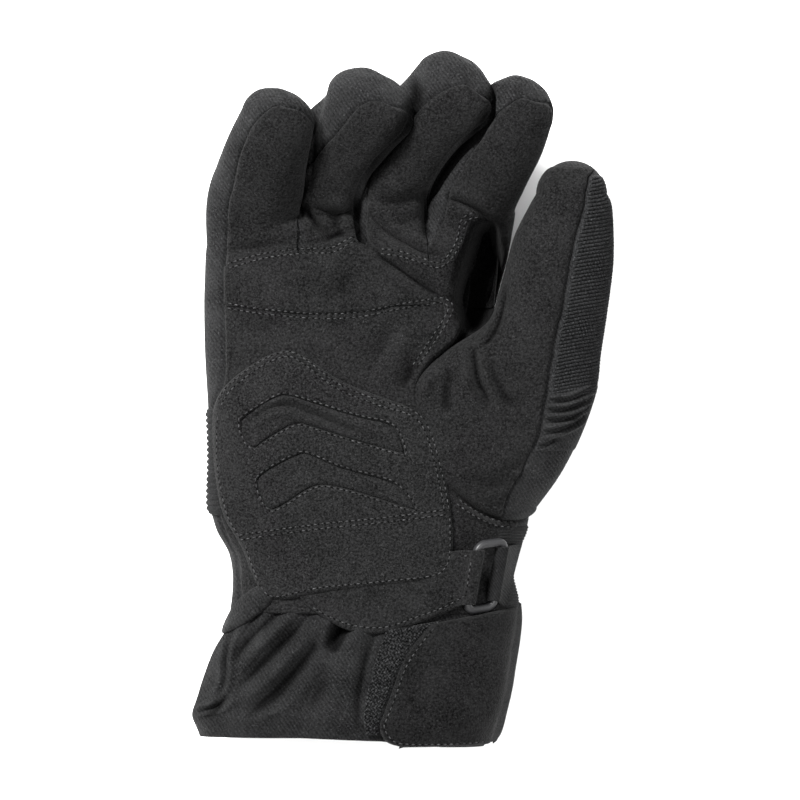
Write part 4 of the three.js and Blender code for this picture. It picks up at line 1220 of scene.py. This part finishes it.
def clothGroup():
    # Nap or weave of cloth: mask is its light and dark grain, 0 to 1, and normal its small relief
    look = grainLook
    group, given, result = nodeGroup(
        "clothGrain",
        [("grainSize", 0.6), ("twill", 0.0), ("twillSize", 1.2), ("patch", 0.3), ("relief", 0.3)],
        [("mask", "NodeSocketFloat"), ("normal", "NodeSocketVector")])
    given = given.outputs
    place = group.nodes.new("ShaderNodeTexCoord").outputs["Object"]
    fineness = mathNode(group, "DIVIDE", 1000.0, given["grainSize"])
    grain = noiseNode(group, place, fineness, look["detail"], look["roughness"])
    slow = noiseNode(group, place, look["slow"], look["detail"])
    # Twill: sine of the place along one slanting direction of the plan, waved a little by the slow noise
    aim = group.nodes.new("ShaderNodeVectorMath")
    aim.operation, aim.inputs[1].default_value = "DOT_PRODUCT", look["aim"]
    group.links.new(place, aim.inputs[0])
    turns = mathNode(group, "DIVIDE", 6283.0, given["twillSize"])
    phase = mathNode(group, "MULTIPLY", aim.outputs["Value"], turns)
    wave = mathNode(group, "SINE", mathNode(group, "MULTIPLY_ADD", slow, look["warp"], phase))
    nap, bands = rangeNode(group, grain, 0.36, 0.64), rangeNode(group, wave, -1.0, 1.0)
    weave = mixNode(group, given["twill"], nap, bands)
    both = mixNode(group, given["patch"], weave, rangeNode(group, slow, 0.32, 0.68))
    # Specks: the few peaks of a fine noise, as light fibres that stand up from the nap
    peaks = rangeNode(group, noiseNode(group, place, look["fine"], 1.0), 0.62, 0.80)
    group.links.new(mathNode(group, "MULTIPLY_ADD", peaks, look["specks"], both), result.inputs["mask"])
    bump = group.nodes.new("ShaderNodeBump")
    bump.inputs["Distance"].default_value = look["depth"]
    group.links.new(given["relief"], bump.inputs["Strength"])
    group.links.new(weave, bump.inputs["Height"])
    group.links.new(bump.outputs[0], result.inputs["normal"])
    return group


grainGroup = clothGroup()
# dark and light are the cloth's albedo in its grain, gloss its specular level there, sizes are millimetres
clothLooks = {
    "suede": {"dark": 0.0006, "light": 0.0074, "tint": (1.0, 1.0, 1.02), "grainSize": 0.9, "patch": 0.26,
              "gloss": (0.03, 0.185), "relief": 0.6},
    "padSuede": {"dark": 0.0006, "light": 0.0083, "tint": (1.0, 1.0, 1.02), "grainSize": 0.8, "patch": 0.16,
                 "gloss": (0.03, 0.2), "relief": 0.6},
    "deepSuede": {"dark": 0.0006, "light": 0.0048, "tint": (1.0, 1.0, 1.02), "grainSize": 0.9, "patch": 0.3,
                  "gloss": (0.02, 0.17), "relief": 0.5},
    "softshell": {"dark": 0.0011, "light": 0.0122, "tint": (0.99, 1.0, 1.03), "grainSize": 0.9,
                  "patch": 0.3, "twill": 0.35, "twillSize": 1.25, "gloss": (0.03, 0.22), "relief": 0.6},
    "cuffShell": {"dark": 0.0006, "light": 0.0080, "tint": (0.99, 1.0, 1.03), "grainSize": 0.9,
                  "patch": 0.34, "twill": 0.35, "twillSize": 1.3, "gloss": (0.02, 0.22), "relief": 0.6},
    "knit": {"dark": 0.0012, "light": 0.0152, "tint": (0.98, 1.0, 1.04), "grainSize": 0.6, "patch": 0.15,
             "gloss": (0.02, 0.22), "relief": 0.5},
    "webbing": {"dark": 0.0020, "light": 0.0080, "tint": (0.99, 1.0, 1.03), "grainSize": 0.7, "patch": 0.3,
                "twill": 0.6, "twillSize": 0.9, "gloss": (0.03, 0.15), "relief": 0.6},
    "elastic": {"dark": 0.0019, "light": 0.0083, "tint": (0.98, 1.0, 1.03), "grainSize": 0.6, "patch": 0.3,
                "gloss": (0.04, 0.2), "relief": 0.4},
    "pile": {"dark": 0.0002, "light": 0.0230, "tint": (0.99, 1.0, 1.03), "grainSize": 0.9, "patch": 0.1,
             "gloss": (0.0, 0.17), "relief": 0.8},
    "thread": {"dark": 0.0060, "light": 0.0340, "tint": (1.0, 1.0, 1.02), "grainSize": 2.4, "patch": 0.1,
               "gloss": (0.05, 0.3), "relief": 0.3},
    "shadow": {"dark": 0.0006, "light": 0.0012, "tint": (1.0, 1.0, 1.0), "gloss": (0.02, 0.05)},
}
clothSurface = {"Roughness": 0.93, "Sheen Weight": 0.02, "Sheen Roughness": 0.5}


def clothMaterial(name):
    # Grain from dark to light, times the tint, with painted shade that darkens colour and gloss to a
    # quarter in the creases
    look = clothLooks[name]
    material = bpy.data.materials.new(name)
    material.use_nodes = True
    tree = material.node_tree
    surface = tree.nodes["Principled BSDF"]
    for title, value in clothSurface.items():
        surface.inputs[title].default_value = value
    grain = tree.nodes.new("ShaderNodeGroup")
    grain.node_tree = grainGroup
    for key in ("grainSize", "twill", "twillSize", "patch", "relief"):
        if key in look:
            grain.inputs[key].default_value = look[key]
    # Painted shade: the point attribute darkens colour and gloss down to a quarter in the floors of folds
    paintedCreaseShade = tree.nodes.new("ShaderNodeAttribute")
    paintedCreaseShade.attribute_name = "paintedCreaseShade"
    paintedShadeFactor = rangeNode(tree, paintedCreaseShade.outputs["Fac"], toLow=1.0, toHigh=0.25)
    mask = grain.outputs["mask"]
    shade = rangeNode(tree, mask, toLow=look["dark"], toHigh=look["light"], clamp=False)
    gloss = rangeNode(tree, mask, toLow=look["gloss"][0], toHigh=look["gloss"][1])
    tint = tree.nodes.new("ShaderNodeVectorMath")
    tint.operation = "SCALE"
    tint.inputs[0].default_value = look["tint"]
    tree.links.new(mathNode(tree, "MULTIPLY", shade, paintedShadeFactor), tint.inputs["Scale"])
    tree.links.new(tint.outputs[0], surface.inputs["Base Color"])
    tree.links.new(mathNode(tree, "MULTIPLY", gloss, paintedShadeFactor), surface.inputs["Specular IOR Level"])
    tree.links.new(grain.outputs["normal"], surface.inputs["Normal"])
    return material


cloths = {name: clothMaterial(name) for name in clothLooks}


def plainMaterial(name, colour, roughness, specular):
    # One colour all over
    material = bpy.data.materials.new(name)
    material.use_nodes = True
    surface = material.node_tree.nodes["Principled BSDF"]
    surface.inputs["Base Color"].default_value = (*colour, 1)
    surface.inputs["Roughness"].default_value = roughness
    surface.inputs["Specular IOR Level"].default_value = specular
    return material


cloths["ringPlastic"] = plainMaterial("ringPlastic", (0.016, 0.016, 0.017), 0.42, 0.35)


builtPieces = []
# Painted shade in the folds: none at a depth of from, full at to, in millimetres, and none at or below the
# height floor
paintedShadeLook = {"from": 0.3, "to": 2.6, "floor": 14.0}


def shadeCreases(piece, folded):
    # Point attribute of painted shade in the floors of folds: 0 on flat cloth, 1 where the cloth dips far
    spots = np.empty(len(piece.data.vertices) * 3)
    piece.data.vertices.foreach_get("co", spots)
    x, y, z = spots.reshape(-1, 3).T * 1000
    mask = smoothStep(paintedShadeLook["from"], paintedShadeLook["to"], -folded(x, y)) * (z > paintedShadeLook["floor"])
    piece.data.attributes.new("paintedCreaseShade", "FLOAT", "POINT").data.foreach_set("value", mask)


def finishPiece(piece, cloth, nodes=(), folded=None):
    # Gives a piece its cloth, the painted shade of its creases and its body, and hides the CAD nodes that
    # it stands for
    piece.data.materials.append(cloths[cloth])
    if folded is not None:
        shadeCreases(piece, folded)
    builtPieces.append(piece)
    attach(piece, "root")
    if nodes:
        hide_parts(*nodes)
    return piece


def palmShade(x, y):
    # Depth of the folds, which sets the painted shade in their floors, with more painted shade round the
    # hollow of the web
    z = relief(x, y)
    near = insideBox(x, y, *webHollow["shadeBox"])
    distance = outlineDistance(x[near], y[near], webRim)
    z[near] -= webHollow["shade"] * smoothStep(-webHollow["shadeWide"], 0, distance)
    return z


finishPiece(handBack(), "softshell", ["back_shell"], palmShade)
for name in limbNames:
    finishPiece(fingerBack(name), "softshell", [name + "_back"], palmShade)
    finishPiece(fingerFront(name), "suede", [name + "_front"], palmShade)
print("hand and fingers built")


def knuckleExtra(x, y, distance):
    # Lifts the tongue at the index finger clear of the finger's own suede
    return 1.1 * smoothStep(across(425), across(452), x) * edgeRound(distance, 1.2)


windowFolds = [
    ([(243, 420), (264, 408), (286, 402), (310, 410), (352, 427), (392, 442)], 1.9, 1.5, 0.6, 1),
    ([(268, 486), (300, 466), (345, 472)], 0.5, 2.4, 0.4, 0),
]


def windowExtra(x, y, distance):
    # One fold along each window, on slow unevenness
    return foldHeight(x, y, windowFolds) + 0.3 * waver(x, y, 5, 0.2)


palmPanel = ruledSheet("palmPanel", palmLook, palmHeight)
finishPiece(palmPanel, "suede", ["palm_panel"], palmShade)
knucklePatch = ruledSheet("knucklePatch", knuckleLook, palmHeight, knuckleExtra)
finishPiece(knucklePatch, "suede", ["knuckle_patch"], palmShade)
heelPatch = polarSheet("heelPatch", heelLook, palmHeight, heelExtra)
finishPiece(heelPatch, "padSuede", ["heel_patch"], palmShade)
for key in windowLooks:
    pad = polarSheet(key + "Window", windowPad(key), palmHeight, windowExtra)
    finishPiece(pad, "padSuede", [key + "_window_pad"])
print("palm built")


def thumbShade(x, y):
    # Depth of the thumb's folds, which sets the painted shade in their floors
    return foldHeight(x, y, thumbFolds)


finishPiece(thumbBack(), "softshell", ["thumb_back"])
finishPiece(thumbFront(), "suede", ["thumb_front"], thumbShade)
finishPiece(thumbKnit(), "knit", ["thumb_knit"])
finishPiece(thumbPleats(), "softshell", ["thumb_pleats"])
print("thumb built")

# Painted shade beside the tab's edge, laid out as one fold path
tabEdgeShade = [(tabLook["edgeA"], 4.0, 1.7, 0.0, 0)]       # dark beside the tab


def cuffShade(x, y):
    # Depth of the cuff's gathers, which sets the painted shade in their floors
    return foldHeight(x, y, cuffFolds)


def pileLoops(x, y):
    # Loops of the pile: small domes on a crowded, uneven grid, 0 between them and 1 on top
    a = np.sin(x * 2.3 + 1.5 * np.sin(y * 1.1) + 0.8 * np.sin(y * 3.7))
    b = np.sin(y * 2.1 + 1.2 * np.sin(x * 1.5) + 0.7 * np.sin(x * 4.3))
    return np.clip(np.abs(a * b) * 1.3, 0, 1)


def pileExtra(x, y, distance):
    # Loops stand up from the strip, but not at its rim
    return pileLook["loops"] * pileLoops(x, y) * smoothStep(0.2, 1.0, distance)


def pileShade(x, y):
    # Painted shade between the loops and beside the tab
    return 8.0 * (pileLoops(x, y) - 0.78) + foldHeight(x, y, tabEdgeShade)


finishPiece(cuffPart("cuffShell", 14, 166, 0.0), "cuffShell", ["cuff_shell"], cuffShade)
finishPiece(cuffPart("cuffBack", 160, 380, -1.4), "cuffShell", ["cuff_back"])
pileStrip = ruledSheet("pileStrip", pileLook, cuffHeight, pileExtra)
finishPiece(pileStrip, "pile", ["pile_strip"], pileShade)
finishPiece(ruledSheet("cuffTab", tabLook, cuffHeight), "deepSuede", ["cuff_tab"])
finishPiece(polarSheet("wristTuck", tuckLook, palmHeight), "cuffShell", ["wrist_tuck"])
for side in elasticLooks:
    finishPiece(elasticBand(side), "elastic", [side + "_elastic"])
finishPiece(wrappedSheet("wristStrap", strapLook, palmHeight, -1), "suede", ["wrist_strap"])
finishPiece(wrappedSheet("ringKeeper", keeperLook, palmHeight, 1), "webbing", ["ring_keeper"])
finishPiece(strapRing(), "ringPlastic", ["strap_ring"])
print("cuff, strap and ring built")

bpy.context.view_layer.update()
depsgraph = bpy.context.evaluated_depsgraph_get()
trees = [BVHTree.FromObject(piece, depsgraph) for piece in builtPieces]
for name, seams in {"patch": patchSeams, "heel": heelSeams, "strap": strapSeams, "tab": tabSeams}.items():
    runs = [run for path, rows in seams for run in flatRuns(path, rows)]
    if name == "heel":
        runs += [outsideRim(rim, stitchLook["windowGap"]) for rim in windowRims.values()]
    sewn, centre, side, lift = threads(name + "Stitches", runs, trees)
    finishPiece(sewn, "thread")
    finishPiece(needleHoles(name + "Holes", centre, side, lift), "shadow")
print("stitches built")

# Floor, lights and camera. The camera looks straight down, and "view" is the width in metres that it sees
# at the height "subject".
cameraLook = {"height": 2.0, "subject": 0.035, "view": 0.312, "sensor": 36}
floorEnds = (-3000, 3000)
floorMesh = Patchwork()
floorMesh.grid(np.array([[(x, y, 0) for x in floorEnds] for y in floorEnds], float))
floor = floorMesh.build("floor", smooth=False)
floor.data.materials.append(plainMaterial("floorWhite", (0.9, 0.9, 0.9), 0.9, 0.1))

world = bpy.data.worlds.new("studio")
world.use_nodes = True
background = world.node_tree.nodes["Background"]
background.inputs["Color"].default_value = (1, 1, 1, 1)
background.inputs["Strength"].default_value = 0.80
bpy.context.scene.world = world


def softLight(name, at, size, power):
    # Square lamp turned towards the middle of the floor
    lamp = bpy.data.lights.new(name, "AREA")
    lamp.size, lamp.energy = size, power
    piece = bpy.data.objects.new(name, lamp)
    bpy.context.collection.objects.link(piece)
    piece.location = at
    x, y, z = at
    piece.rotation_euler = (math.atan2(math.hypot(x, y), z), 0, math.atan2(x, -y))


softLight("keyLight", (-0.85, 1.0, 1.35), 0.5, 120)
softLight("fillLight", (0.8, -0.5, 1.5), 1.2, 30)

camera = bpy.data.objects.new("camera", bpy.data.cameras.new("camera"))
bpy.context.collection.objects.link(camera)
camera.location = (0, 0, cameraLook["height"])
camera.data.sensor_width = cameraLook["sensor"]
distance = cameraLook["height"] - cameraLook["subject"]
camera.data.lens = cameraLook["sensor"] * distance / cameraLook["view"]
camera.data.dof.use_dof = False
bpy.context.scene.camera = camera
bpy.context.scene.view_settings.view_transform = "Standard"
